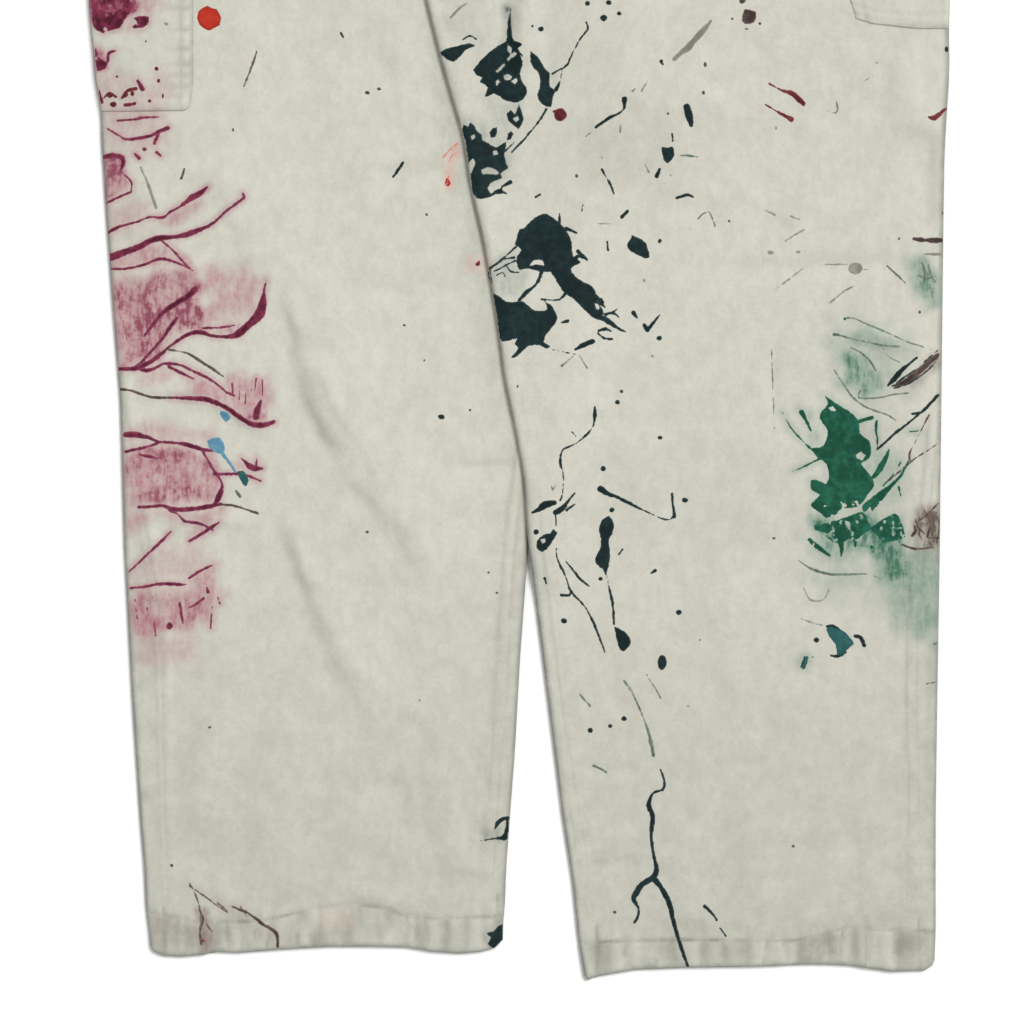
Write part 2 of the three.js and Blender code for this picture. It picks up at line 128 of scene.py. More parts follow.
# Main creases of the leg fronts and the bib: half width, height (negative is a trough), lean of the steep
# side to the lower left, and the line. Those above 636 are like the ones below it, which the photo shows.
creases = {
    "left": [
        (13, 1.0, 0.3, [(-204, 538.5), (-181.5, 496.5), (-164.5, 466), (-153, 441.5)]),
        (15, 0.7, 0.3, [
            (-160.5, 466), (-151, 441.5), (-140.5, 412), (-128.5, 384.5), (-114, 358.5), (-97, 331),
            (-79, 304), (-61, 271.5), (-52, 249.5),
        ]),
        (13, 0.5, 0.3, [(-157, 318), (-145, 282.5), (-131, 247), (-116.5, 214.5), (-106.5, 188.5)]),
        (14, -0.5, 0, [(-170, 483.5), (-160.5, 441.5), (-155, 409), (-147.5, 376.5)]),
        (20, 1.0, 0.3, [
            (-155.5, 460.5), (-141.5, 425), (-125.5, 386), (-109, 347.5), (-85.5, 305), (-62, 269.5),
            (-48, 247),
        ]),
        (8, 0.95, 0.3, [
            (-154, 449), (-146, 422), (-140.5, 399), (-135, 379.5), (-126.5, 363.5), (-116.5, 346),
            (-108, 328), (-94.5, 307),
        ]),
        (6.5, 0.9, 0.3, [
            (-132, 412), (-126.5, 389.5), (-120, 374.5), (-112, 363.5), (-103, 350.5), (-96.5, 336.5),
            (-88, 317),
        ]),
        (6, -0.8, 0, [
            (-156, 441.5), (-151, 422), (-147, 401), (-143, 383), (-135.5, 365), (-128.5, 353),
            (-120.5, 343), (-116, 326),
        ]),
        (7, -0.6, 0, [(-116, 326), (-102.5, 308.5), (-90, 291), (-78, 275.5), (-62, 256)]),
        (16, 0.9, 0.2, [(-171.5, 525.5), (-142.5, 470.5), (-118.5, 422), (-105.5, 379.5), (-100, 350.5)]),
        (13, 1.5, 0.32, [
            (-154, 311.5), (-142.5, 273), (-128.5, 239), (-114.5, 210), (-105, 186), (-93.5, 170.5),
            (-76.5, 151),
        ]),
        (7, -0.6, 0, [
            (-160.5, 308.5), (-150.5, 273), (-136, 237), (-122.5, 209.5), (-113, 187.5), (-102.5, 172.5),
        ]),
        (9, -0.7, 0, [(-89.5, 133.5), (-82.5, 124), (-70, 117.5)]),
        (5, 0.5, 0, [(-118, 49), (-102.5, 54.5), (-87, 52.5), (-71.5, 47.5)]),
        (5, 0.5, 0, [(-52, 72), (-32.5, 74.5), (-9.5, 73)]),
        (22, 1.4, 0.2, [(-142.5, 182), (-150.5, 130), (-158, 78.5), (-162, 39.5)]),
        (14, 0.9, 0.2, [(-198.5, 188.5), (-203.5, 143), (-207.5, 91.5)]),
        (6, -0.7, 0, [(-100, 524), (-71.5, 521.5), (-44, 524)]),
        (6, -0.6, 0, [(-111.5, 449), (-71.5, 446.5), (-24.5, 449.5)]),
        (5, -0.8, 0, [(-46.5, 335), (-26, 333), (-1.5, 335.5)]),
        (12, 0.8, 0.2, [(-116.5, 221), (-90.5, 188.5), (-58.5, 169), (-32.5, 161.5)]),
        (16, 0.8, 0.2, [(-58.5, 143), (-45.5, 104.5), (-44, 65.5)]),
        (3.5, 0.7, 0, [(-99, 50), (-90.5, 49), (-83, 46)]),
        (5, 0.6, 0, [(-113.5, 55), (-97, 57), (-78, 49), (-52, 43)]),
        (14, 0.9, 0.2, [(-123, 597), (-109, 551.5), (-103.5, 512.5)]),
        (12, 0.8, 0.2, [(-78, 622.5), (-72.5, 577.5), (-58.5, 538.5)]),
        (10, 0.7, 0.2, [(-182.5, 629), (-177.5, 590.5), (-167, 552.5)]),
        (7, 1.0, 0.1, [(-260.5, 483), (-233.5, 489), (-194.5, 515), (-175, 527)]),
        (7, 0.8, 0.1, [(-262, 453), (-227, 460.5), (-198.5, 462)]),
        (8, 1.1, 0.1, [(-255.5, 379), (-220.5, 383), (-184, 371.5), (-153, 354.5)]),
        (7, 0.9, 0.1, [(-250, 301.5), (-214, 301.5), (-167, 296)]),
        (7, 0.7, 0.1, [(-247.5, 249.5), (-214, 252), (-188, 260)]),
        (10, 1.6, 0.3, [(-4, 908), (-48, 932), (-104, 968)]),
        (8, 1.2, 0.2, [(-10, 884), (-62, 896), (-126, 922)]),
        (12, 1.4, 0.2, [(-58, 1070), (-72, 1022), (-98, 968)]),
        (11, 1.4, 0.2, [(-150, 1068), (-162, 1010), (-190, 948)]),
        (8, 0.9, 0.2, [(-104, 1070), (-110, 1034), (-122, 1002)]),
        (14, 1.6, 0.2, [(-240, 872), (-192, 826), (-134, 796), (-98, 778)]),
        (11, 1.2, 0.2, [(-196, 762), (-148, 738), (-92, 730)]),
        (10, -1.1, 0, [(-222, 820), (-176, 784), (-120, 760)]),
        (8, 1.1, 0.2, [(-252, 940), (-224, 900), (-210, 852)]),
    ],
    "right": [
        (9, 1.7, 0.2, [(5, 674.5), (4.5, 635.5), (2.5, 610), (0, 584)]),
        (7, -1.1, 0, [(17.5, 674.5), (17, 635.5), (16, 597), (18, 564.5)]),
        (24, -1.1, 0, [(45.5, 502), (54.5, 538.5), (78, 573.5)]),
        (16, -0.7, 0, [(120.5, 573.5), (137.5, 593), (158, 612.5)]),
        (13, 1.3, 0.2, [(245, 610), (250, 577.5), (255.5, 545)]),
        (12, -1.2, 0, [(260.5, 552.5), (265.5, 519), (267, 481.5)]),
        (6, -0.8, 0, [(110, 465.5), (162, 462), (221.5, 464.5), (268.5, 462)]),
        (4.5, -0.6, 0, [(41.5, 137.5), (59.5, 135.5), (79, 138)]),
        (4.5, -0.6, 0, [(41.5, 76), (59.5, 74), (79, 76.5)]),
        (9, 0.6, 0.2, [(201, 117.5), (201.5, 65.5), (205, 26.5)]),
        (9, 0.6, 0.2, [(224, 117.5), (223, 65.5), (224, 24)]),
        (5, -0.6, 0, [(163.5, 411.5), (164.5, 376.5), (175, 353), (185.5, 349.5)]),
        (20, 0.9, 0.2, [(116.5, 273), (136, 221), (145, 169)]),
        (16, 0.8, 0.2, [(65, 363.5), (78, 324.5), (93.5, 286)]),
        (18, 0.8, 0.2, [(181.5, 247), (175, 195), (181.5, 143)]),
        (16, 0.8, 0.2, [(142.5, 130), (150.5, 85), (147.5, 39.5)]),
        (14, 0.7, 0.2, [(90.5, 104.5), (103.5, 65.5), (106.5, 33)]),
        (7, 0.6, 0.1, [(172.5, 486.5), (185.5, 498.5), (201, 506)]),
        (9, 0.6, 0.1, [(78, 525.5), (116.5, 508.5), (155.5, 512.5)]),
        (7, 0.8, 0.1, [(214, 422), (240, 413), (269.5, 409)]),
        (8, 0.9, 0.1, [(217.5, 357), (246, 361), (271, 376.5)]),
        (10, 1.6, 0.3, [(14, 902), (62, 930), (118, 972)]),
        (8, 1.2, 0.2, [(16, 874), (76, 882), (140, 904)]),
        (12, 1.4, 0.2, [(70, 1070), (84, 1018), (112, 956)]),
        (10, 1.2, 0.2, [(164, 1068), (176, 1004), (200, 936)]),
        (8, 0.9, 0.2, [(116, 1068), (124, 1030), (134, 1000)]),
        (14, 1.8, 0.2, [(-48, 806), (6, 790), (72, 800), (132, 832)]),
        (12, 1.4, 0.2, [(-50, 742), (14, 722), (84, 718), (150, 738)]),
        (9, -1.1, 0, [(-30, 772), (36, 756), (110, 770)]),
        (11, 1.2, 0.2, [(252, 900), (212, 868), (152, 852)]),
        (8, 1.1, 0.2, [(196, 800), (176, 748), (170, 700)]),
    ],
    "bib": [
        (11, 0.9, 0.2, [(-98, 1134), (-78, 1184), (-70, 1250)]),
        (11, 0.9, 0.2, [(104, 1138), (86, 1196), (84, 1262)]),
        (9, 0.7, 0.2, [(-58, 1344), (-2, 1326), (54, 1342)]),
        (10, 0.8, 0.2, [(-92, 1320), (-56, 1286), (-18, 1268)]),
        (10, 0.8, 0.2, [(90, 1318), (52, 1280), (22, 1262)]),
        (14, 0.8, 0.2, [(-30, 1136), (-22, 1180), (8, 1226)]),
    ],
}

# Seams of the leg fronts: line, half width and height of the ridge, rows of stitches beside it, and a band of
# painted shade beside the seam's allowance (side and strength)
seams = {
    "left": [
        {
            "line": [
                (-267, 470), (-261, 420), (-250, 340), (-238, 270), (-231.5, 221), (-230, 143),
                (-227.4, 52.5), (-226.6, 42),
            ],
            "half": 4.5, "height": 0.6, "rows": [-0.8], "band": (-1, 0.4),
        },
        {
            "line": [
                (-21, 43), (-19, 98), (-14.5, 150), (-11, 208), (-6.5, 279), (-2, 320), (7, 390), (18, 460),
            ],
            "half": 5, "height": 0.6, "rows": [-3.4, 3.4], "band": (1, 0.36),
        },
    ],
    "right": [
        {
            "line": [(270, 380), (264, 320), (258, 268), (254, 214.5), (255.3, 117), (257.4, 33)],
            "half": 4.5, "height": 0.6, "rows": [-3.2, 3.2], "band": (1, 0.4),
        },
        {
            "line": [
                (45.6, 26), (42.1, 62), (36.3, 104.3), (27, 160), (20, 210), (12, 276), (8.5, 324), (-4, 388),
                (-12.5, 447), (-27, 516.5), (-39.5, 576), (-55, 636), (-76, 760),
            ],
            "half": 4.5, "height": 0.35, "rows": [-3.2, 3.2], "band": (-1, 0.3), "noShadeAbove": 330,
        },
        {
            "line": [(4.5, 896), (4.5, 1000), (4.5, 1076)],
            "half": 5, "height": 0.5, "rows": [-3.4, 3.4],
        },
    ],
}
# Short creases that a seam's stitches draw in: x, up, length, half width, depth
seamPuckers = [
    (-13, 334, 22, 2.6, 0.7), (-11, 308, 18, 2.4, 0.6), (-11, 276, 20, 2.4, 0.7), (-12, 263, 14, 2, 0.5),
    (-12, 247, 16, 2.2, 0.6), (-13, 234, 18, 2.2, 0.6), (-14, 221, 16, 2.2, 0.5), (-14, 205, 16, 2.2, 0.6),
    (-226, 160, 12, 2.4, 0.4), (-227, 190, 12, 2.2, 0.4), (-226, 120, 12, 2.4, 0.4), (-225, 84, 12, 2.2, 0.4),
    (256, 190, 12, 2.2, 0.4), (256, 150, 14, 2.4, 0.4), (256, 96, 12, 2.2, 0.4), (257, 60, 12, 2.2, 0.4),
    (30, 140, 12, 2.2, 0.4), (37, 92, 12, 2.2, 0.5), (43, 48, 12, 2.2, 0.5), (22, 196, 12, 2.2, 0.4),
]


def smooth(share):
    s = np.clip(share, 0, 1)
    return s * s * (3 - 2 * s)


def mix(a, b, share):
    return a + (b - a) * share


def bump(gap, half):
    # 1 at the middle of a mark, fading beyond its half width.
    return np.exp(-((gap / half) ** 2))


def taper(along, times):
    # 0 at both ends of a line and 1 between them, reached after one part in this many.
    return smooth(along * times) * smooth((1 - along) * times)


def softNoise(x, up, size, seed):
    # From -1 to 1, with bumps of about this size in millimetres.
    table = np.random.RandomState(seed).uniform(-1, 1, (noiseCells, noiseCells))
    u = np.asarray(x, float) / size
    v = np.asarray(up, float) / size
    i = np.floor(u).astype(int)
    j = np.floor(v).astype(int)
    i0 = i % noiseCells
    j0 = j % noiseCells
    i1 = (i + 1) % noiseCells
    j1 = (j + 1) % noiseCells
    low = mix(table[i0, j0], table[i1, j0], smooth(u - i))
    high = mix(table[i0, j1], table[i1, j1], smooth(u - i))
    return mix(low, high, smooth(v - j))


def curved(points, step):
    # A smooth line through the points, with a point about every step millimetres.
    p = np.array(points, float)
    first = 2 * p[0] - p[1]
    last = 2 * p[-1] - p[-2]
    before = np.vstack([first, p[:-2]]) if len(p) > 2 else first[None]
    beyond = np.vstack([p[2:], last]) if len(p) > 2 else last[None]
    parts = []
    for a, b, c, d in zip(before, p[:-1], p[1:], beyond):
        count = max(1, int(round(np.hypot(*(c - b)[:2]) / step)))
        t = np.arange(count)[:, None] / count
        bend = (2 * a - 5 * b + 4 * c - d) * t ** 2
        twist = (3 * b - a - 3 * c + d) * t ** 3
        parts.append(0.5 * (2 * b + (c - a) * t + bend + twist))
    return np.vstack(parts + [p[-1:]])


def edgeAt(points, up):
    # x of an edge, with its corners softened over a few millimetres.
    table = np.array(points, float)
    up = np.asarray(up, float)
    softened = [np.interp(up + shift, table[:, 1], table[:, 0]) for shift in (-7, -2, 2, 7)]
    return sum(softened) / len(softened)


def nearLine(x, up, line):
    # Distance to a line, the side of it (1 or -1) and the share of its length, for every point.
    starts = line[:-1, :2]
    steps = np.diff(line[:, :2], axis=0)
    lengths = np.maximum(np.hypot(steps[:, 0], steps[:, 1]), 1e-6)
    run = np.concatenate([[0], np.cumsum(lengths)])
    best = np.full(np.shape(x), 1e9)
    side = np.zeros(np.shape(x))
    along = np.zeros(np.shape(x))
    for start, step, length, before in zip(starts, steps, lengths, run):
        dx = x - start[0]
        dUp = up - start[1]
        t = np.clip((dx * step[0] + dUp * step[1]) / length ** 2, 0, 1)
        gapX = dx - t * step[0]
        gapUp = dUp - t * step[1]
        gap = np.hypot(gapX, gapUp)
        nearer = gap < best
        best = np.where(nearer, gap, best)
        side = np.where(nearer, np.sign(step[0] * gapUp - step[1] * gapX), side)
        along = np.where(nearer, (before + t * length) / run[-1], along)
    return best, side, along


def depthInside(x, up, polygon):
    # Distance to a polygon's outline, positive inside it.
    ring = np.array(polygon, float)
    line = np.vstack([ring, ring[:1]])
    gap = nearLine(x, up, line)[0]
    inside = np.zeros(np.shape(x), bool)
    for a, b in zip(line[:-1], line[1:]):
        if a[1] == b[1]:
            continue
        crosses = (a[1] > up) != (b[1] > up)
        inside ^= crosses & (x < a[0] + (up - a[1]) * (b[0] - a[0]) / (b[1] - a[1]))
    return np.where(inside, gap, -gap)


def around(x, up, points, margin):
    # The points of a field near a shape.
    p = np.array(points, float)
    low = p[:, :2].min(axis=0) - margin
    high = p[:, :2].max(axis=0) + margin
    return (x > low[0]) & (x < high[0]) & (up > low[1]) & (up < high[1])


# How creases wander: a share of the half width, reach or height, the size of the bumps and the seed
creaseWander = {
    "line": [(0.28, 26, 36), (0.12, 11, 37)],
    "reach": (0.25, 24, 31),
    "height": (0.4, 34, 32),
    "leanOver": 3,  # the lean sets in over this distance from the middle
    "taper": 5,
}


def wander(x, up, share, size, seed):
    return share * softNoise(x, up, size, seed)


def creaseRelief(side, x, up):
    c = creaseWander
    relief = np.zeros(x.shape)
    for half, height, lean, run in creases[side]:
        line = curved(run, 8)
        near = around(x, up, line, 3 * half)
        if not near.any():
            continue
        at = (x[near], up[near])
        gap, which, along = nearLine(*at, line)
        shift = gap * which + half * sum(wander(*at, *w) for w in c["line"])
        leaning = 1 + lean * np.clip(shift / c["leanOver"], -1, 1)
        reach = half * leaning * (1 + wander(*at, *c["reach"]))
        uneven = 1 + wander(*at, *c["height"])
        relief[near] += height * uneven * taper(along, c["taper"]) * bump(np.abs(shift), reach)
    return relief * cloth["creaseScale"]


seamForm = {
    "ridge": 1.5,  # how much of a seam's height shows
    "sideSoft": 1.6,
    "groove": 0.4,  # depth of the line of its stitches
    "grooveHalf": 0.9,
    "even": 0.75,
    "uneven": (0.35, 7, 33),
    "taper": 12,
}


def seamRelief(side, x, up):
    f = seamForm
    relief = np.zeros(x.shape)
    for seam in seams[side]:
        line = curved(seam["line"], 8)
        near = around(x, up, line, 3 * seam["half"])
        if not near.any():
            continue
        gap, which, along = nearLine(x[near], up[near], line)
        ridge = smooth((seam["half"] + 1 - gap) / f["sideSoft"])
        grooves = sum(bump(gap * which - row, f["grooveHalf"]) for row in seam["rows"])
        draw = f["even"] + wander(x[near], up[near] * 0.8, *f["uneven"])
        height = seam["height"] * f["ridge"] * ridge - f["groove"] * grooves
        relief[near] += taper(along, f["taper"]) * draw * height
    for px, pUp, length, half, depth in seamPuckers:
        relief -= depth * bump(up - pUp, half) * bump(np.abs(x - px) / length * 2, 1)
    return relief


# Hem: depths of its groove and puckers, and its unevenness as height, flatness, size and seed
hemForm = {
    "groove": 0.95, "grooveHalf": 1.5, "pucker": 1.5, "slant": 1.6,
    "uneven": [(0.55, 0.3, 8, 34), (0.2, 0.5, 4, 35)],
}


def hemLines(side, x):
    # Up of the hem's edge and of its row of stitches.
    return [np.interp(x, *np.array(legs[side][key], float).T) for key in ("hem", "stitch")]


def hemPuckers(side, x, share, narrow=1):
    # Depth and form of each pucker, where share is how far up the hem a point is.
    for px, half, depth, slant in legs[side]["puckers"]:
        centre = px + hemForm["slant"] * slant * (share - 0.5)
        yield depth, bump(x - centre, narrow * half)


def cornerFolds(side, x, up):
    for fx, low, high, half, depth in legs[side]["corner"]:
        ends = smooth((up - low) / 6) * smooth((high - up) / 6)
        yield depth, ends, bump(x - fx, half)


def hemRelief(side, x, up):
    # The turned-up hem stands a ply higher, with a groove at its stitches and puckers across it.
    f = hemForm
    low, line = hemLines(side, x)
    band = smooth((line + 1.4 - up) / 1.8)
    relief = cloth["hemPly"] * band
    relief -= f["groove"] * bump(up - line, f["grooveHalf"])
    share = (up - low) / (line - low)
    zone = smooth(share * 3) * smooth((line + 12 - up) / 14)
    for depth, form in hemPuckers(side, x, share):
        relief -= f["pucker"] * depth * zone * form
    relief += sum(high * band * softNoise(x, up * flat, size, seed) for high, flat, size, seed in f["uneven"])
    for depth, ends, form in cornerFolds(side, x, up):
        relief -= depth * ends * form
    return relief


# Where the right leg lies on the left: its lift, and how far from the other's edge it comes down
lap = {"lift": 5.1, "within": 20, "beside": 10, "down": 40}


def climb(x, up):
    # How far the right leg is lifted there.
    beyondUp = np.maximum(np.maximum(legsMeetUp - up, up - crotchUp), 0)
    edgeX = edgeAt(legs["left"]["right"], np.clip(up, legsMeetUp + lap["within"], crotchUp) - lap["within"])
    beyondX = np.maximum(x - edgeX - lap["beside"], 0)
    return lap["lift"] * smooth(1 - np.hypot(beyondX, beyondUp) / lap["down"])


def legFloor(side, x, up):
    return climb(x, up) if side == "right" else np.zeros(np.shape(x))


def joined(up):
    # 0 where a leg has its own inner edge, 1 where the legs are sewn together.
    return smooth((up - crotchUp) / 40)


def fromEdges(side, x, up):
    # Distances in from the side edges. Where the legs are sewn together, that edge counts as far off.
    sewn = 60 * joined(up)
    left = x - edgeAt(legs[side]["left"], up)
    right = edgeAt(legs[side]["right"], up) - x
    return (left + sewn, right) if side == "right" else (left, right + sewn)


def legRelief(side, x, up):
    inset = smooth(np.minimum(*fromEdges(side, x, up)) / cloth["reliefInset"])
    relief = creaseRelief(side, x, up)
    for size, height, seed in cloth["billow"]:
        relief = relief + height * softNoise(x, up, size, seed + (side == "right") * 7)
    relief = relief * inset
    nearHem = smooth((up - legs[side]["hemUp"] - 8) / 40)
    relief = relief * mix(0.35, 1, nearHem)
    if side == "left":  # pressed flat under the other leg
        relief = relief * smooth((edgeAt(legs["right"]["left"], up) - x + 4) / 32)
    return relief + seamRelief(side, x, up) * smooth(inset * 3) + hemRelief(side, x, up)


def legTop(side, x, up):
    # Height of a leg front's outer face, with its rolled side edges.
    r = cloth["edgeRadius"]
    d = np.minimum(*fromEdges(side, x, up))
    bend = r - r * np.sqrt(1 - (1 - np.clip(d / r, 0, 1)) ** 2)
    return legFloor(side, x, up) + cloth["thickness"] - bend + legRelief(side, x, up)


def place(points):
    # From millimetres of (x, up, z) to the row's frame in metres.
    p = np.asarray(points, float).reshape(-1, 3)
    return np.column_stack([p[:, 0], p[:, 1] - halfLength, p[:, 2]]) / 1000


def addMesh(name, points, faces, material):
    mesh = bpy.data.meshes.new(name)
    mesh.from_pydata(place(points).tolist(), [], faces)
    mesh.update()
    mesh.polygons.foreach_set("use_smooth", [True] * len(mesh.polygons))
    piece = bpy.data.objects.new(name, mesh)
    bpy.context.scene.collection.objects.link(piece)
    mesh.materials.append(material)
    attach(piece, "root")
    return piece


def shellFaces(rows, columns):
    # Faces of a fine outer grid, a coarse inner grid at every fourth row and column, and the rim between.
    innerRows = (rows - 1) // 4 + 1
    innerColumns = (columns - 1) // 4 + 1

    def top(r, c):
        return r * columns + c

    def low(i, j):
        return rows * columns + i * innerColumns + j

    r, c = np.meshgrid(np.arange(rows - 1), np.arange(columns - 1), indexing="ij")
    outer = np.stack([top(r, c), top(r, c + 1), top(r + 1, c + 1), top(r + 1, c)], axis=-1)
    i, j = np.meshgrid(np.arange(innerRows - 1), np.arange(innerColumns - 1), indexing="ij")
    inner = np.stack([low(i, j), low(i + 1, j), low(i + 1, j + 1), low(i, j + 1)], axis=-1)
    faces = outer.reshape(-1, 4).tolist() + inner.reshape(-1, 4).tolist()
    lastRow = rows - 1
    lastColumn = columns - 1
    for k in range(innerRows - 1):
        steps = [4 * k + n for n in range(5)]
        near = [low(k + 1, 0), low(k, 0)]
        far = [low(k, innerColumns - 1), low(k + 1, innerColumns - 1)]
        faces.append(near + [top(n, 0) for n in steps])
        faces.append(far + [top(n, lastColumn) for n in steps[::-1]])
    for k in range(innerColumns - 1):
        steps = [4 * k + n for n in range(5)]
        near = [low(0, k), low(0, k + 1)]
        far = [low(innerRows - 1, k + 1), low(innerRows - 1, k)]
        faces.append(near + [top(0, n) for n in steps[::-1]])
        faces.append(far + [top(lastRow, n) for n in steps])
    return faces


def addShell(name, node, outer, inner, material):
    points = np.vstack([outer.reshape(-1, 3), inner.reshape(-1, 3)])
    piece = addMesh(name, points, shellFaces(*outer.shape[:2]), material)
    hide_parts(node)
    return piece


def lowestNear(z):
    # For every fourth row and column, the lowest height within four steps.
    padded = np.pad(z, 4, mode="edge")
    rows, columns = z.shape
    lowest = np.full(z.shape, 1e9)
    for dr in range(0, 9, 2):
        for dc in range(0, 9, 2):
            lowest = np.minimum(lowest, padded[dr:dr + rows, dc:dc + columns])
    return lowest[::4, ::4]


def inFours(count):
    return 4 * int(round(count / 4))


# Spacing of the leg fronts' points
legGrid = {
    "hemRows": [0, 0.25, 0.6, 1.1, 1.8, 2.8, 4.2],
    "fineTo": 42,  # above the hem's edge
    "fineStep": 1.3,
    "shownTo": 650,
    "shownStep": 2,
    "upperStep": 4.5,
    "across": 152,
    "fold": 8,  # columns round each side edge
}


def legRows(hemUp, top):
    g = legGrid
    hem = [hemUp + d for d in g["hemRows"]]
    fine = np.arange(hem[-1] + g["fineStep"], hemUp + g["fineTo"], g["fineStep"])
    shown = np.arange(fine[-1] + g["shownStep"], g["shownTo"], g["shownStep"])
    soFar = len(hem) + len(fine) + len(shown)
    count = inFours(soFar + (top - shown[-1]) / g["upperStep"]) + 1 - soFar
    upper = np.linspace(shown[-1], top, count + 1)[1:]
    return np.concatenate([hem, fine, shown, upper])


def hemShift(side, x, row):
    # Bends the straight rows to the hem's own line, less and less above it.
    hemUp = legs[side]["hemUp"]
    shift = hemLines(side, x)[0] - hemUp
    return row + shift * (1 - smooth((row - hemUp) / 60))


def legFront(side, material):
    leg = legs[side]
    r = cloth["edgeRadius"]
    innerR = r - cloth["wall"]
    fold = legGrid["fold"]
    rows = legRows(leg["hemUp"], waistUp + 5)
    left = edgeAt(leg["left"], rows)[:, None]
    right = edgeAt(leg["right"], rows)[:, None]
    row = np.repeat(rows[:, None], legGrid["across"] + 1, axis=1)
    share = np.linspace(0, 1, legGrid["across"] + 1)[None]
    x = mix(left + r, right - r, share)
    up = hemShift(side, x, row)
    floor = legFloor(side, x, up)
    z = floor + cloth["thickness"] + legRelief(side, x, up)
    lip = np.sqrt(1 - (1 - np.clip((row - leg["hemUp"]) / cloth["hemLip"], 0, 1)) ** 2)
    base = floor + cloth["hemLipBase"]
    z = base + (z - base) * lip

    turn = np.radians(np.linspace(-80, 90, fold + 1))[:-1][None]
    open_ = joined(rows)[:, None]
    flatShare = np.arange(fold)[None] / fold
    sides = []
    for edge, sign in ((left, 1), (right, -1)):
        fx = edge + sign * (r - r * np.cos(turn))
        rowHere = np.repeat(rows[:, None], fold, axis=1)
        fUp = hemShift(side, fx, rowHere)
        fFloor = legFloor(side, fx, fUp)
        fz = fFloor + r + r * np.sin(turn)
        over = z[:, :1] if sign > 0 else z[:, -1:]
        stretch = (over - fFloor) / cloth["thickness"]
        fz = fFloor + (fz - fFloor) * mix(1, np.maximum(stretch, 0.6), smooth(np.sin(turn)))
        ix = edge + sign * (r - innerR * np.cos(turn))
        iz = fFloor + r + innerR * np.sin(turn)
        if (side == "left") == (sign < 0):  # sewn to the other leg
            flatX = edge + sign * r * flatShare
            fx = mix(fx, flatX, open_)
            fz = mix(fz, over, open_)
            ix = mix(ix, flatX, open_)
            iz = mix(iz, over - cloth["wall"], open_)
        sides.append((fx, fUp, fz, ix, iz))
    (lx, lUp, lz, lix, liz), (rx, rUp, rz, rix, riz) = sides
    outerX = np.hstack([lx, x, rx[:, ::-1]])
    outerUp = np.hstack([lUp, up, rUp[:, ::-1]])
    outerZ = np.hstack([lz, z, rz[:, ::-1]])

    innerX = outerX[::4, ::4].copy()
    innerUp = outerUp[::4, ::4].copy()
    innerZ = lowestNear(outerZ) - cloth["wall"]
    innerFloor = legFloor(side, innerX, innerUp)
    band = 1 - smooth((innerUp - leg["hemUp"] - 26) / 14)
    innerZ = np.maximum(innerZ, innerFloor + 1.3)
    innerZ = mix(innerZ, innerFloor + 2.2, band)
    for k in range(fold // 4):
        innerX[:, k] = lix[::4, 4 * k]
        innerZ[:, k] = liz[::4, 4 * k]
        innerX[:, -1 - k] = rix[::4, 4 * k]
        innerZ[:, -1 - k] = riz[::4, 4 * k]
    outer = np.stack([outerX, outerUp, outerZ], axis=-1)
    inner = np.stack([innerX, innerUp, innerZ], axis=-1)
    return addShell(f"{side}_leg_front_cloth", f"{side}_leg_front", outer, inner, material)

# Back of each leg, which lies on the floor or on the other leg
backs = {
    "inset": 2.4,  # it ends inside the front's rolled edge
    "step": 5,
    "across": 320,
    "hemRows": (0.4, 0.8, 1.6, 3),
    "hem": 1.9,  # two plies and their fold
    "hemDepth": 26,
    "hollow": 0.35,  # soft hollows of its under face
    "hollowSize": 34,
}


def backHeight(side, x, up):
    band = smooth((hemLines(side, x)[0] + backs["hemDepth"] - up) / 3)
    return mix(cloth["wall"], backs["hem"], band)


def legBack(side, material):
    # The fine grid is its under face, which shows when the garment is turned over.
    leg = legs[side]
    b = backs
    count = inFours((waistUp - leg["hemUp"]) / b["step"])
    hem = [leg["hemUp"] + d for d in b["hemRows"]]
    rows = np.concatenate([hem, np.linspace(leg["hemUp"] + 6, waistUp, count + 1 - len(hem))])
    left = edgeAt(leg["left"], rows)[:, None]
    right = edgeAt(leg["right"], rows)[:, None]
    across = inFours(b["across"] / b["step"])
    share = np.linspace(0, 1, across + 1)[None]
    x = mix(left + b["inset"], right - b["inset"], share)
    up = hemShift(side, x, np.repeat(rows[:, None], across + 1, axis=1))
    floor = legFloor(side, x, up)
    hollow = b["hollow"] * smooth(softNoise(x, up, b["hollowSize"], 51) + 0.4)
    inset = smooth(np.minimum(x - left, right - x) / 16) * smooth((up - leg["hemUp"] - 24) / 10)
    under = floor + hollow * inset
    upper = np.maximum(floor + backHeight(side, x, up), under + 0.7)
    outer = np.stack([x, up, under], axis=-1)[:, ::-1]
    inner = np.stack([x, up, upper], axis=-1)[:, ::-1][::4, ::4]
    return addShell(f"{side}_leg_back_cloth", f"{side}_leg_back", outer, inner, material)


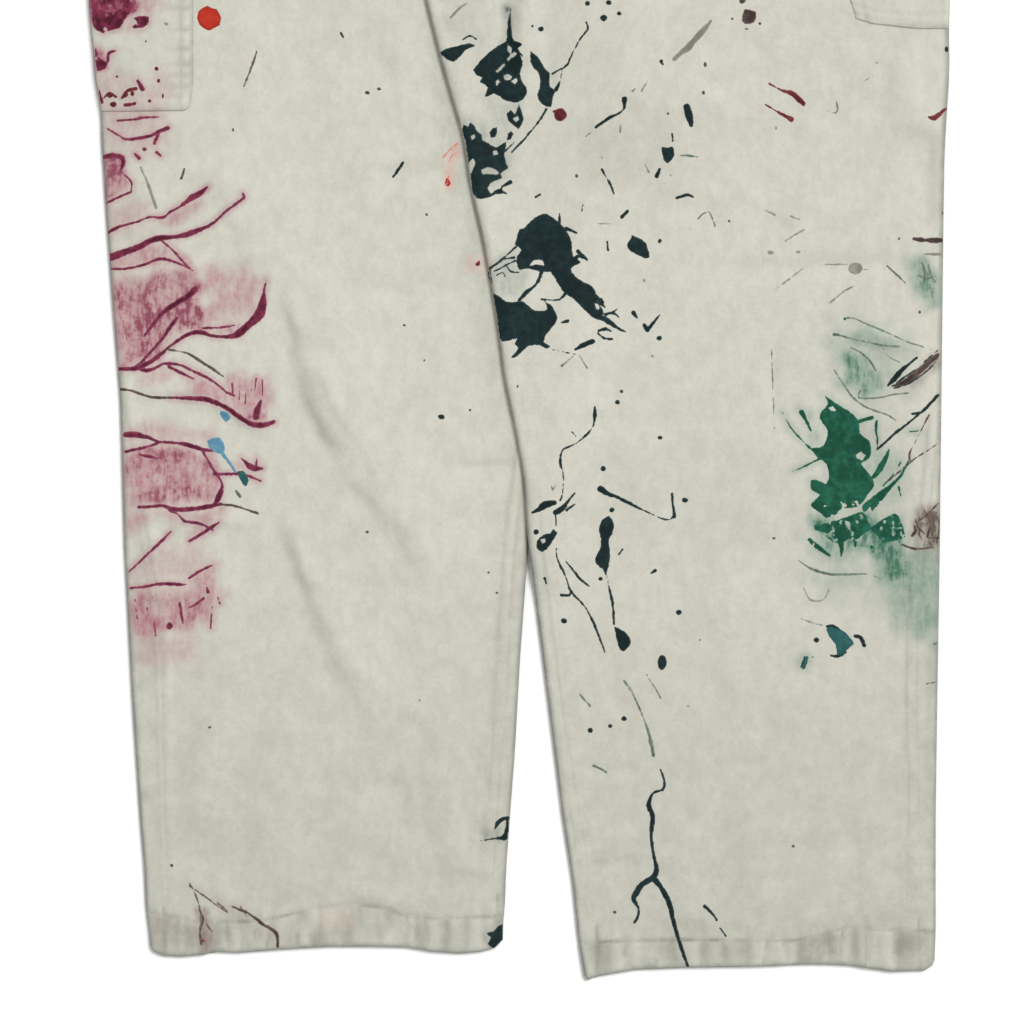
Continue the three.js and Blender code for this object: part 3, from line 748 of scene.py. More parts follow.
def panel(name, node, p, material):
    # A flat piece: left, right, top and under are functions, low and high its ends along the garment.
    lip = p["lip"]
    insets = lip * np.array([0, 0.06, 0.25, 0.55, 1])
    count = inFours((p["high"] - p["low"]) / p["step"])
    middle = np.linspace(p["low"] + lip, p["high"] - lip, count - 7)[1:-1]
    rows = np.concatenate([p["low"] + insets, middle, p["high"] - insets[::-1]])
    width = abs(p["right"](p["low"]) - p["left"](p["low"]))
    acrossCount = inFours(width / p["step"])
    share = np.linspace(0, 1, acrossCount - 7)[1:-1]
    left = p["left"](rows)[:, None]
    right = p["right"](rows)[:, None]
    between = mix(left + lip, right - lip, share[None])
    x = np.hstack([left + insets[None], between, right - insets[None, ::-1]])
    row = np.repeat(rows[:, None], x.shape[1], axis=1)
    up = row + p["shift"](x) * (1 - smooth((row - p["low"]) / 30)) if "shift" in p else row
    top = p["top"](x, up)
    under = p["under"](x, up)
    d = np.minimum(np.minimum(x - left, right - x), np.minimum(row - p["low"], p["high"] - row))
    roundness = np.sqrt(1 - (1 - np.clip(d / lip, 0, 1)) ** 2)
    edgeZ = under + 0.35 * (top - under)
    outer = np.stack([x, up, edgeZ + (top - edgeZ) * roundness], axis=-1)
    inner = np.stack([x, up, under], axis=-1)[::4, ::4]
    return addShell(name, node, outer, inner, material)


def edgeGrooves(d, insets, depth):
    # Grooves of stitch rows at these distances from an edge, and the fullness between them.
    relief = 0.25 * bump(d - sum(insets) / len(insets), 3)
    for inset in insets:
        relief = relief - depth * bump(d - inset, 0.9)
    return relief


pockets = {
    "left": {
        "low": 563.5, "high": 786, "thickness": 1.5, "rows": [2.2, 8.2],
        "free": [(-214, 563), (-213.6, 566), (-211.8, 574), (-211.6, 786)],
        "puckers": [663, 648, 630, 616, 603.5, 593.5, 586.5, 579.5],
    },
    "right": {
        "low": 617, "high": 850, "thickness": 1.5, "rows": [2.2, 8.2],
        "free": [(218, 617), (216.7, 623.4), (213.4, 631), (213.4, 850)],
        "puckers": [640, 662, 690, 725],
    },
}


def pocket(side, material):
    p = pockets[side]
    onLeft = side == "left"

    def free(up):
        return edgeAt(p["free"], up)

    def seamed(up):
        return edgeAt(legs[side]["left" if onLeft else "right"], up) + (0.6 if onLeft else -0.6)

    def shift(x):
        if onLeft:
            return 0.4 * smooth((x + 260) / 40) + 5 * smooth((x + 220) / 9) ** 2
        return 3.2 * (1 - smooth((x - 216) / 14)) + 3.4 * (1 - smooth((x - 222) / 40))

    def top(x, up):
        fromFree = np.abs(free(up) - x)
        fromLow = up - p["low"] - shift(x)
        relief = edgeGrooves(fromFree, p["rows"], 0.6) + edgeGrooves(fromLow, p["rows"], 0.6)
        for pUp in p["puckers"]:
            relief = relief - 0.9 * bump(fromFree - 6, 9) * bump(up - pUp, 2.2)
        return legTop(side, x, up) + p["thickness"] + relief

    def under(x, up):
        return legTop(side, x, up) - 0.5

    return panel(
        f"{side}_pocket_cloth",
        "left_tool_pocket" if onLeft else "right_side_pocket",
        {
            "left": seamed if onLeft else free, "right": free if onLeft else seamed,
            "low": p["low"], "high": p["high"], "step": 1.7, "lip": 1.2,
            "shift": shift, "top": top, "under": under,
        },
        material,
    )


# Upper pieces, above what the photo shows
upper = {
    "waistbandLow": 1076, "waistbandHigh": 1121, "waistbandRows": [3, 9],
    "waistbandZ": 6.0, "waistbandEdge": 2.6,  # height in the middle, and how much lower its ends are
    "bibLow": 1116, "bibHigh": 1400, "bibHem": 22, "bibRows": [2.4, 9],
    "bibZ": (5.6, 3.6), "bibEdge": (1.4, 0.3),  # over the waistband's edge, and above it
    "backBibLow": 1078, "backBibHigh": 1440, "backBibRows": [2.6, 9.5], "backBibZ": 1.4,
    "bibHalf": [(165, 1116), (142, 1260), (125, 1400)],
    "backHalf": [(251, 1080), (238, 1115), (205, 1160), (160, 1230), (122, 1320), (96, 1440)],
}


def halfOf(points):
    line = curved(points, 6)

    def half(up):
        return np.interp(up, line[:, 1], line[:, 0])
    return half


bibHalf = halfOf(upper["bibHalf"])
backHalfAbove = halfOf(upper["backHalf"])


def backHalf(up):
    return backHalfAbove(np.maximum(up, waistUp))


def upperBillow(x, up, d, seed):
    inset = smooth(d / 14)
    wide = 0.45 * softNoise(x, up, 55, seed)
    fine = 0.22 * softNoise(x, up, 21, seed + 1)
    return inset * (wide + fine + creaseRelief("bib", x, up))


def bibTop(x, up):
    u = upper
    d = bibHalf(up) - np.abs(x)
    fall = smooth((up - 1120) / 40)
    z = mix(*u["bibZ"], fall) - mix(*u["bibEdge"], fall) * (1 - smooth(d / 14))
    hem = smooth((up - u["bibHigh"] + u["bibHem"]) / 1.8)
    z = z + 0.9 * hem + edgeGrooves(d, u["bibRows"], 0.35)
    z = z - 0.45 * bump(up - u["bibHigh"] + u["bibHem"] - 1.5, 1.1)
    return z + upperBillow(x, up, np.minimum(d, up - 1125), 61) * (1 - hem)


def waistbandTop(x, up):
    u = upper
    d = backHalf(up) - np.abs(x)
    fromEdge = np.minimum(up - u["waistbandLow"], u["waistbandHigh"] - up)
    z = u["waistbandZ"] - u["waistbandEdge"] * (1 - smooth(d / 15))
    z = z + edgeGrooves(fromEdge, u["waistbandRows"], 0.3)
    return z + 0.25 * softNoise(x, up, 18, 63)


def backBibTop(x, up):
    d = backHalf(up) - np.abs(x)
    z = upper["backBibZ"] + edgeGrooves(d, upper["backBibRows"], 0.25)
    return z + 0.3 * smooth(d / 10) * (1 + softNoise(x, up, 40, 64))


def upperPieces(material):
    u = upper
    backBib = {
        "left": lambda up: -backHalf(up), "right": backHalf,
        "low": u["backBibLow"], "high": u["backBibHigh"], "step": 3.2, "lip": 1.2,
        "top": backBibTop, "under": lambda x, up: 0 * x,
    }
    bib = {
        "left": lambda up: -bibHalf(up), "right": bibHalf,
        "low": u["bibLow"], "high": u["bibHigh"], "step": 2.4, "lip": 1.3,
        "top": bibTop, "under": lambda x, up: bibTop(x, up) - 1.5,
    }
    waistband = {
        "left": lambda up: -backHalf(up) + 0.4, "right": lambda up: backHalf(up) - 0.4,
        "low": u["waistbandLow"], "high": u["waistbandHigh"], "step": 1.8, "lip": 1.4,
        "top": waistbandTop, "under": lambda x, up: waistbandTop(x, up) - 2.2,
    }
    made = (("back_bib", backBib), ("bib_front", bib), ("front_waistband", waistband))
    return [panel(f"{node}_cloth", node, p, material) for node, p in made]


# Straps: folded bands that run from the back bib over the far end and down to the buckles
straps = {
    "width": 38, "wall": 2, "foldRadius": 1.5, "farUp": 1545,
    "backX": 68, "frontX": 95, "barUp": 1390.3, "barZ": 9.78, "barRadius": 3.58, "return": 42,
    "rows": 3.2,  # stitches this far in from an edge
    "edge": [(0, 0.35), (0.5, 0.8), (1.6, 0.98), (3.2, 0.78), (5, 1), (11, 1.02)],  # inset, share of the wall
    "crown": 1.04,
}


def halfTurn(up, z, radius, turn):
    angles = np.linspace(0, np.pi, 9)
    return [(up - turn * radius * np.sin(a), z + turn * radius * np.cos(a)) for a in angles]


def strapLine():
    s = straps
    half = s["wall"] / 2
    foldUp = s["farUp"] - half - s["foldRadius"]
    path = [(1414, 2.9), (1428, 2.9), (1441, 2.9), (1449, 1.9), (1458, 1.05), (1500, 1.02)]
    path += halfTurn(foldUp, half + s["foldRadius"], s["foldRadius"], -1)
    path += [(foldUp - 22, half + 2 * s["foldRadius"])]
    path += [(s["barUp"] + s["return"] + 24, s["barZ"] + s["barRadius"] - 1)]
    path += [(s["barUp"] + d, s["barZ"] + s["barRadius"]) for d in (s["return"], 16)]
    path += halfTurn(s["barUp"], s["barZ"], s["barRadius"], 1)
    path += [(s["barUp"] + s["return"], s["barZ"] - s["barRadius"])]
    return np.array(path)


def strap(side, sign, material):
    s = straps
    path = strapLine()
    fine = curved(path, 2.5)
    gaps = np.hypot(*np.diff(fine, axis=0).T)
    keep = np.concatenate([[True], gaps > 0.05])
    fine = fine[keep]
    run = np.concatenate([[0], np.cumsum(np.hypot(*np.diff(fine, axis=0).T))])
    lower = run[np.argmax(fine[:, 0])]
    centre = sign * mix(s["backX"], s["frontX"], np.clip(run / lower, 0, 1))
    tangent = np.gradient(fine, axis=0)
    tangent /= np.hypot(tangent[:, 0], tangent[:, 1])[:, None]
    normal = np.column_stack([-tangent[:, 1], tangent[:, 0]])
    half = s["width"] / 2
    edge = [(half - inset, share * s["wall"] / 2) for inset, share in s["edge"]]
    over = [(-x, z) for x, z in edge] + [(0, s["crown"] * s["wall"] / 2)] + edge[::-1]
    ring = over + [(x, -z) for x, z in over[::-1]]
    points = []
    for k in range(len(fine)):
        for x, z in ring:
            points.append((centre[k] + x, fine[k, 0] + normal[k, 0] * z, fine[k, 1] + normal[k, 1] * z))
    count = len(ring)
    faces = []
    for k in range(len(fine) - 1):
        for n in range(count):
            m = (n + 1) % count
            faces.append([k * count + n, k * count + m, (k + 1) * count + m, (k + 1) * count + n])
    faces.append(list(range(count))[::-1])
    faces.append([(len(fine) - 1) * count + n for n in range(count)])
    piece = addMesh(f"strap_{side}_band", points, faces, material)
    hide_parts(f"strap_{side}")
    return piece

# Stitches: cotton thread, each stitch a thin spindle let into the cloth
stitches = {
    "length": 2.7, "gap": 0.9, "half": 0.26, "sink": 0.05,
    "climb": 1.2,  # there are none where the cloth steps more than this
}


def treeOf(pieces):
    points = []
    faces = []
    for piece in pieces:
        start = len(points)
        points += [v.co.copy() for v in piece.data.vertices]
        faces += [[start + k for k in face.vertices] for face in piece.data.polygons]
    return BVHTree.FromPolygons(points, faces)


def heightAt(tree, x, up):
    # Height of the cloth seen from above, or None beside it. Millimetres.
    hit = tree.ray_cast(Vector((x / 1000, (up - halfLength) / 1000, 0.2)), Vector((0, 0, -1)), 1)
    return None if hit[0] is None else hit[0].z * 1000


def stitchRow(tree, line, points, faces):
    s = stitches
    path = curved(line, 3)
    gaps = np.hypot(*np.diff(path, axis=0).T)
    run = np.concatenate([[0], np.cumsum(gaps)])
    pitch = s["length"] + s["gap"]
    for start in np.arange(0.5, run[-1] - s["length"], pitch):
        a = np.array([np.interp(start, run, path[:, k]) for k in (0, 1)])
        b = np.array([np.interp(start + s["length"], run, path[:, k]) for k in (0, 1)])
        za = heightAt(tree, *a)
        zb = heightAt(tree, *b)
        zm = heightAt(tree, *((a + b) / 2))
        if None in (za, zb, zm) or max(za, zb, zm) - min(za, zb, zm) > s["climb"]:
            continue
        along = (b - a) / max(np.hypot(*(b - a)), 1e-6)
        side = np.array([-along[1], along[0]]) * s["half"]
        middle = (a + b) / 2
        first = len(points)
        points += [
            (*a, za - s["half"]), (*b, zb - s["half"]),
            (*(middle - side), zm + s["sink"]), (*(middle + side), zm + s["sink"]),
            (*middle, zm + s["half"]), (*middle, zm - s["half"]),
        ]
        for ring in ((2, 4), (4, 3), (3, 5), (5, 2)):
            faces.append([first, first + ring[1], first + ring[0]])
            faces.append([first + 1, first + ring[0], first + ring[1]])


def beside(line, shift):
    # A line moved sideways by this much; to its right as drawn downwards.
    path = curved(line, 10)
    step = np.gradient(path, axis=0)
    step /= np.hypot(step[:, 0], step[:, 1])[:, None]
    return path + shift * np.column_stack([-step[:, 1], step[:, 0]])


def edgeRow(edge, low, high, inset):
    ups = np.arange(low, high, 12.0)
    return [(float(edge(up)) + inset, float(up)) for up in ups]


def legStitchLines(side):
    lines = [legs[side]["stitch"]]
    for seam in seams[side]:
        lines += [beside(seam["line"], row) for row in seam["rows"]]
    return lines


def pocketStitchLines(side):
    p = pockets[side]
    sign = -1 if side == "left" else 1
    topX = p["free"][-1][0]
    lines = []
    for inset in p["rows"]:
        low = p["low"] + inset
        high = p["high"] - inset - 10
        lines.append(edgeRow(lambda up: edgeAt(p["free"], up), low + 6, p["high"] - 2, sign * inset))
        if side == "left":
            lines.append([(-216.5 - inset * 0.3, low + 2), (-226, low + 0.6), (-266, low)])
        else:
            lines.append([(221 + inset * 0.6, low + 5.4), (230, low + 3.2), (246, low + 1.4), (270, low)])
        lines.append([(topX + sign * 3, high), (topX + sign * 55, high)])
    return lines


def upperStitchLines():
    u = upper
    lines = []
    for sign in (-1, 1):
        for key, half, margin in (("bib", bibHalf, 2), ("backBib", backHalf, 4)):
            for inset in u[key + "Rows"]:
                low = u["waistbandHigh"] + margin
                lines.append(edgeRow(lambda up: sign * half(up), low, u[key + "High"] - 3, -sign * inset))
    for inset in u["waistbandRows"]:
        for up in (u["waistbandLow"] + inset, u["waistbandHigh"] - inset):
            half = float(backHalf(up)) - 4
            lines.append([(-half, up), (0, up), (half, up)])
    hemUp = u["bibHigh"] - u["bibHem"]
    half = float(bibHalf(hemUp)) - 3
    lines.append([(x, hemUp + 1.5) for x in (-half, 0, half)])
    lines.append([(x, u["backBibHigh"] - 4) for x in (-90, 90)])
    for sign in (-1, 1):
        for row in (-1, 1):
            middle = sign * straps["frontX"]
            shift = row * (straps["width"] / 2 - straps["rows"])
            lines.append([(middle + shift, 1400), (middle * 0.965 + shift, 1440)])
    return lines


def stitchPiece(name, lines, tree, material):
    points = []
    faces = []
    for line in lines:
        stitchRow(tree, line, points, faces)
    return addMesh(name, points, faces, material)


# Rubbed and washed-in colour, as (strength, softness, outline). The material breaks it up along the weave.
washes = {
    "crimson": [
        (1.0, 4, [
            (-282.5, 674.5), (-260.5, 678.5), (-245, 655), (-245.5, 632), (-251, 625.5), (-258.5, 616),
            (-274, 614.5), (-282.5, 635.5),
        ]),
        (0.5, 6, [(-251.5, 648.5), (-234.5, 641), (-231.5, 632), (-238.5, 625.5), (-251.5, 624)]),
        (0.85, 3, [
            (-278.5, 607), (-273.5, 605), (-265.5, 597), (-267.5, 590.5), (-275, 589), (-278.5, 597),
        ]),
        (0.3, 12, [
            (-277.5, 587.5), (-229.5, 585), (-225.5, 563), (-228, 538.5), (-272, 537), (-275, 571),
        ]),
        (0.9, 3, [(-272, 536), (-257.5, 536), (-256, 527), (-252, 516.5), (-254, 511.5), (-269.5, 504)]),
        (0.35, 7, [(-269.5, 506), (-240, 503), (-240, 485.5), (-268.5, 480)]),
        (0.55, 4, [
            (-233.5, 492), (-217.5, 502), (-206, 508), (-204, 503.5), (-216.5, 493), (-225.5, 488),
        ]),
        (0.6, 4, [
            (-265.5, 471), (-243.5, 477.5), (-223, 476.5), (-212.5, 463.5), (-240, 464.5),
            (-264.5, 460.5),
        ]),
        (0.85, 6, [
            (-264.5, 453), (-233.5, 458), (-214, 458), (-205, 450.5), (-205.5, 424.5), (-223, 415.5),
            (-240, 401), (-258, 397), (-262.5, 422),
        ]),
        (1.0, 4, [(-228, 440), (-214, 446.5), (-205.5, 437.5), (-206, 422), (-221.5, 416.5), (-228, 423)]),
        (0.5, 7, [(-205, 462), (-176.5, 466), (-167, 455.5), (-171, 432), (-189, 424.5), (-205, 427)]),
        (0.65, 4, [(-203.5, 424.5), (-181.5, 428.5), (-173.5, 427), (-181.5, 418), (-201, 419.5)]),
        (0.6, 5, [(-221.5, 394.5), (-207.5, 394.5), (-186.5, 379), (-190.5, 375), (-212.5, 379)]),
        (0.6, 6, [(-188, 390.5), (-164.5, 392), (-162, 376.5), (-163.5, 361), (-179, 365), (-189, 374)]),
        (1.0, 3, [(-176.5, 371.5), (-167, 376.5), (-163.5, 368.5), (-163.5, 361), (-177.5, 363.5)]),
        (0.35, 5, [(-246, 394.5), (-223, 396), (-227, 387), (-247.5, 387)]),
        (0.45, 5, [
            (-255.5, 361), (-220.5, 361), (-202, 358.5), (-199.5, 348), (-233.5, 350.5),
            (-255.5, 350.5),
        ]),
        (0.78, 5, [
            (-256.5, 343), (-240, 346.5), (-214, 345.5), (-203.5, 343), (-193, 324.5), (-195.5, 309),
            (-255.5, 305),
        ]),
        (0.55, 6, [
            (-255.5, 306.5), (-193, 306.5), (-198.5, 293.5), (-216.5, 293.5), (-233.5, 300),
            (-255.5, 289.5),
        ]),
        (0.5, 4, [(-217.5, 292), (-199.5, 298.5), (-198.5, 293.5), (-210, 283), (-216.5, 282)]),
        (0.35, 8, [(-246, 280.5), (-207.5, 283), (-199.5, 269), (-220.5, 258.5), (-251.5, 257.5)]),
        (0.66, 7, [
            (-253.5, 256), (-216.5, 257.5), (-198.5, 269), (-195.5, 249.5), (-198.5, 230),
            (-220.5, 223.5), (-250, 225), (-253.5, 240.5),
        ]),
        (0.35, 12, [(-252.5, 227.5), (-207.5, 225), (-214, 208), (-246, 208)]),
        (0.4, 4, [(-189, 336.5), (-170, 336.5), (-167, 330), (-181.5, 330)]),
    ],
    "green": [
        (0.75, 6, [(249.5, 468.5), (265.5, 466), (273.5, 457), (272, 433.5), (264.5, 435), (256.5, 448)]),
        (0.55, 7, [(211, 424.5), (233.5, 420.5), (249, 413), (237, 407.5), (211, 413)]),
        (0.8, 7, [(208.5, 409), (224, 406.5), (236, 394.5), (237, 381.5), (221.5, 376.5), (208.5, 387)]),
        (0.35, 10, [
            (198.5, 428.5), (240, 427), (252.5, 389.5), (233.5, 368.5), (205, 381.5), (195.5, 409),
        ]),
        (0.55, 5, [(180, 372.5), (188, 368.5), (195.5, 353), (192, 346.5), (184, 357)]),
        (0.85, 7, [
            (189, 298.5), (221.5, 302.5), (250, 301.5), (255.5, 286), (254, 261), (240, 256),
            (225.5, 273), (201, 275.5), (189, 286),
        ]),
        (0.6, 12, [
            (221.5, 286), (275, 292), (276, 247), (272, 221), (254, 221), (234.5, 247), (224, 266.5),
        ]),
        (0.4, 9, [(224, 350.5), (249, 337.5), (246, 311.5), (230.5, 305), (220.5, 331)]),
        (0.3, 14, [(184, 286), (233.5, 273), (230.5, 249.5), (194.5, 247)]),
        (0.45, 4, [(180, 214.5), (189, 213), (188, 200), (180, 200)]),
    ],
    "umber": [
        (1.0, 6, [(251.5, 298.5), (275, 313), (275, 276.5), (255.5, 278)]),
        (0.6, 4, [(245, 385.5), (263, 401), (272, 407.5), (273.5, 398.5), (256.5, 387)]),
        (0.26, 4, [(-239, 44), (-212, 40), (-199, 40), (-196, 17), (-238, 17)]),
        (0.28, 4, [(-213, 62), (-181.5, 50), (-160, 34), (-156, 22), (-166, 22), (-190, 44)]),
        (0.7, 3, [(-210, 46), (-203, 46), (-200, 22), (-206, 18)]),
        (0.12, 8, [(-22, 111), (-6.5, 109.5), (-8, 90), (-23.5, 90)]),
        (0.16, 5, [(88, 42), (118, 40), (122, 27), (92, 27)]),
        (0.14, 5, [(176, 44), (206, 41), (204, 28), (180, 28)]),
    ],
    "coral": [
        (0.5, 3, [(-49, 533), (-40, 542), (-37.5, 538), (-43, 526), (-44.5, 513), (-49, 515)]),
        (0.45, 4, [(-32.5, 468.5), (-22, 468.5), (-22, 460.5), (-32.5, 460.5)]),
        (0.13, 7, [(-134, 44), (-112, 47), (-107, 38), (-120, 33), (-133, 35)]),
    ],
    # slate: grey stains, and a painted shadow beside the right leg's edge
    "slateAndShade": [
        (0.6, 3, [(-24, 97), (-12, 99), (-12, 91), (-23, 91)]),
        (0.5, 4, [(-23, 30), (-14, 36), (-9, 36), (-9, 21), (-21, 22)]),
        # painted shadow on the left leg beside the edge of the right leg, which lies on it
        (0.2, 8, [
            (-44, 597), (-35, 551.5), (-26, 493), (-18, 441.5), (-11.5, 389.5), (-19.5, 389.5),
            (-30, 441.5), (-41.5, 506), (-53, 564.5), (-58.5, 610),
        ]),
        (0.35, 5, [(-9.5, 633), (-1.5, 633), (-1.5, 616), (-5, 607), (-10.5, 616)]),
        (0.8, 4, [(-10.5, 630.5), (-4, 630.5), (-4, 607), (-11.5, 607)]),
        (0.65, 3, [(-10.5, 607), (-2.5, 607), (-2.5, 593), (-13, 581.5), (-15.5, 586.5)]),
        (0.35, 5, [(-18, 466), (-4, 473.5), (6.5, 459.5), (0, 441.5), (-13, 441.5), (-19.5, 453)]),
        (0.3, 5, [(-23.5, 571), (0, 568.5), (-4, 552.5), (-22, 550)]),
        (0.4, 6, [(-39, 558), (-6.5, 551.5), (-8, 519), (-32.5, 512.5)]),
        (0.25, 10, [(-45.5, 635.5), (-26, 635.5), (-27, 610), (-49, 613.5)]),
    ],
}
# Soft grey patches on the cloth, strongest at the hems: x, up, radius across, radius along, strength
grimeAndShade = [
    (-214, 80, 34, 60, 0.28), (-212, 30, 34, 12, 0.75), (-130, 250, 60, 90, 0.14), (-60, 44, 50, 14, 0.35),
    (150, 34, 110, 14, 0.4), (250, 60, 20, 50, 0.45), (52, 60, 14, 60, 0.4), (-14, 150, 12, 110, 0.35),
    (258, 150, 12, 110, 0.35), (232, 40, 34, 16, 0.5), (-236, 34, 12, 20, 0.7), (30, 600, 50, 36, 0.12),
    (60, 540, 44, 34, 0.3), (-200, 180, 20, 60, 0.3), (120, 300, 90, 60, 0.15), (-100, 150, 60, 80, 0.2),
    (240, 300, 24, 90, 0.25), (-120, 22, 90, 10, 0.4), (-265, 560, 20, 80, 0.3),
]


# Painted shade and darkening of the cloth: strengths from 0 to 1, and widths in millimetres
shadeAndGrime = {
    "lower": 0.31, "lowerUp": 330, "lowerFade": 260,  # a leg's lower part, darker towards the bottom
    "edge": 1.1, "edgeWidth": 3.4, "hemEdgeWidth": 2.5,  # painted shade along the rolled side edges and the hem's edge
    # painted shade in seam grooves, hem corner folds, the hem's stitch groove and its puckers; the hem's band
    # darker
    "seam": 0.45, "seamHalf": 1.6, "corner": 0.85,
    "stitch": 1.2, "stitchHalf": 1.5, "stitchEven": 0.75, "stitchUneven": (0.4, 9, 47),
    "hemBand": 0.52, "hemUneven": (0.9, 7, 43),
    "pucker": 0.95, "puckerNarrow": 0.62, "puckerEven": 0.8, "puckerUneven": (0.5, 6, 48),
    "bandHigh": 430, "bandFade": 200, "bandEven": 0.75,  # a seam's allowance, which shows through as a band, darkened with painted shade
    # painted shade on the turned edges of a leg, less where the right leg crosses the left
    "rim": 0.5, "rimWidth": 3.2, "rimCrossing": 0.7,
}


def paintedShadeAndGrime(side, x, up):
    # Painted shade in seams, stitch lines, puckers and hem folds and along the rolled edges, a darker hem
    # band, and the cloth darker towards the bottom.
    s = shadeAndGrime
    low, line = hemLines(side, x)
    band = smooth((line + 6 - up) / 8)
    fromEdge = np.minimum(*fromEdges(side, x, up))
    stitch = s["stitch"] * (s["stitchEven"] + wander(x, up, *s["stitchUneven"]))
    # darker towards the bottom; painted shade along the rolled edges, along the hem's edge and in its stitch
    # groove; a darker hem band
    found = [
        s["lower"] * smooth((s["lowerUp"] - up) / s["lowerFade"]),
        s["edge"] * smooth(1 - fromEdge / s["edgeWidth"]),
        s["edge"] * smooth(1 - (up - low) / s["hemEdgeWidth"]),
        stitch * bump(up - line, s["stitchHalf"]),
        s["hemBand"] * band * (1 + wander(x, up * 0.3, *s["hemUneven"])),
    ]
    # painted shade in the hem's puckers and its corner folds
    patch = s["puckerEven"] + wander(x, up, *s["puckerUneven"])
    for depth, form in hemPuckers(side, x, (up - low) / (line - low), s["puckerNarrow"]):
        found.append(s["pucker"] * depth * patch * band * form)
    found += [s["corner"] * ends * form for depth, ends, form in cornerFolds(side, x, up)]
    for seam in seams[side]:
        path = curved(seam["line"], 8)
        # painted shade beside the seam's allowance
        if "band" in seam:
            sign, strength = seam["band"]
            order = np.argsort(path[:, 1])
            beyond = sign * (x - np.interp(up, path[order, 1], path[order, 0])) - 3
            uneven = s["bandEven"] + 0.4 * softNoise(x * 2, up * 0.4, 9, 44) + 0.3 * softNoise(x, up, 6, 45)
            fade = smooth((s["bandHigh"] - up) / s["bandFade"])
            found.append(strength * uneven * smooth(beyond / 3 + 0.5) * fade)
        # painted shade in the seam's stitch grooves
        near = around(x, up, path, 12)
        if near.any():
            gap, which, along = nearLine(x[near], up[near], path)
            rows = sum(bump(gap * which - row, s["seamHalf"]) for row in seam["rows"])
            rows = rows * smooth((seam.get("noShadeAbove", 2000) - up[near]) / 60)
            seamRowShade = np.zeros(len(x))
            seamRowShade[near] = s["seam"] * rows * taper(along, seamForm["taper"])
            found.append(seamRowShade)
    return np.max(found, axis=0)


def rimShade(side, x, up):
    # Painted shade on the turned edges of a leg, less where the right leg crosses the left.
    s = shadeAndGrime
    d = np.minimum(np.minimum(*fromEdges(side, x, up)), up - hemLines(side, x)[0])
    crossing = smooth((up - 300) / 40) * smooth((140 - x) / 20) if side == "right" else 0
    return s["rim"] * smooth(1.25 - d / s["rimWidth"]) * (1 - s["rimCrossing"] * crossing)


# Painted shade under a pocket's free edge, in its stitch row, along its lower edge and in its puckers.
def pocketShade(side, x, up):
    p = pockets[side]
    d = np.abs(x - edgeAt(p["free"], up))
    found = [0.75 * bump(d, 1.6), 0.4 * bump(d - p["rows"][1], 1.6), 0.6 * bump(np.abs(up - p["low"] - 1), 2)]
    found += [0.5 * bump(d - 6, 9) * bump(up - pUp, 2) for pUp in p["puckers"]]
    return np.max(found, axis=0)


def strokeHalo(colour, x, up):
    # Thin colour that bled out of a stroke into the weave.
    value = np.zeros(len(x))
    marks = paint.get(colour, {})
    if "halo" not in marks:
        return value
    reach, strength = marks["halo"]
    shapes = [curved(stroke, 6) for stroke in marks["strokes"]]
    shapes += [np.array(list(pool) + [pool[0]], float) for pool in marks.get("pools", [])]
    for line in shapes:
        near = around(x, up, line, reach + 3)
        if near.any():
            gap = nearLine(x[near], up[near], line)[0]
            value[near] = np.maximum(value[near], strength * smooth(1.35 - gap / reach))
    return value


def washed(x, up, strength, soft, outline):
    value = np.zeros(len(x))
    near = around(x, up, outline, soft * 2)
    if near.any():
        depth = depthInside(x[near], up[near], outline)
        depth = depth + 0.7 * soft * softNoise(x[near], up[near], 9, 41)
        value[near] = strength * smooth(depth / (2 * soft) + 0.5)
    return value


def addWashesAndShade(piece, side=None, onPocket=False):
    # Writes the colours rubbed into a piece, its grime and its painted shade, as strengths at its vertices.
    mesh = piece.data
    flat = np.empty(len(mesh.vertices) * 3)
    mesh.vertices.foreach_get("co", flat)
    p = flat.reshape(-1, 3) * 1000
    x = p[:, 0]
    up = p[:, 1] + halfLength

    def write(name, found):
        layer = mesh.attributes.new(name, "FLOAT", "POINT")
        layer.data.foreach_set("value", np.max([np.zeros(len(x)), *found], axis=0))

    for colour, areas in washes.items():
        found = [washed(x, up, *area) for area in areas]
        if side:
            found.append(strokeHalo(colour, x, up))
        # painted shade of the turned edges goes in with the slate grey
        if side and colour == "slateAndShade" and not onPocket:
            found.append(rimShade(side, x, up))
        write(colour + "Rub", found)
    # grey patches, and then the painted shade of a leg's seams, puckers and edges or of a pocket's edges
    found = [
        strength * np.exp(-((x - gx) / wide) ** 2 - ((up - gUp) / tall) ** 2)
        for gx, gUp, wide, tall, strength in grimeAndShade
    ]
    if onPocket:
        found.append(pocketShade(side, x, up))
    elif side:
        found.append(paintedShadeAndGrime(side, x, up))
    write("grimeAndShade", found)
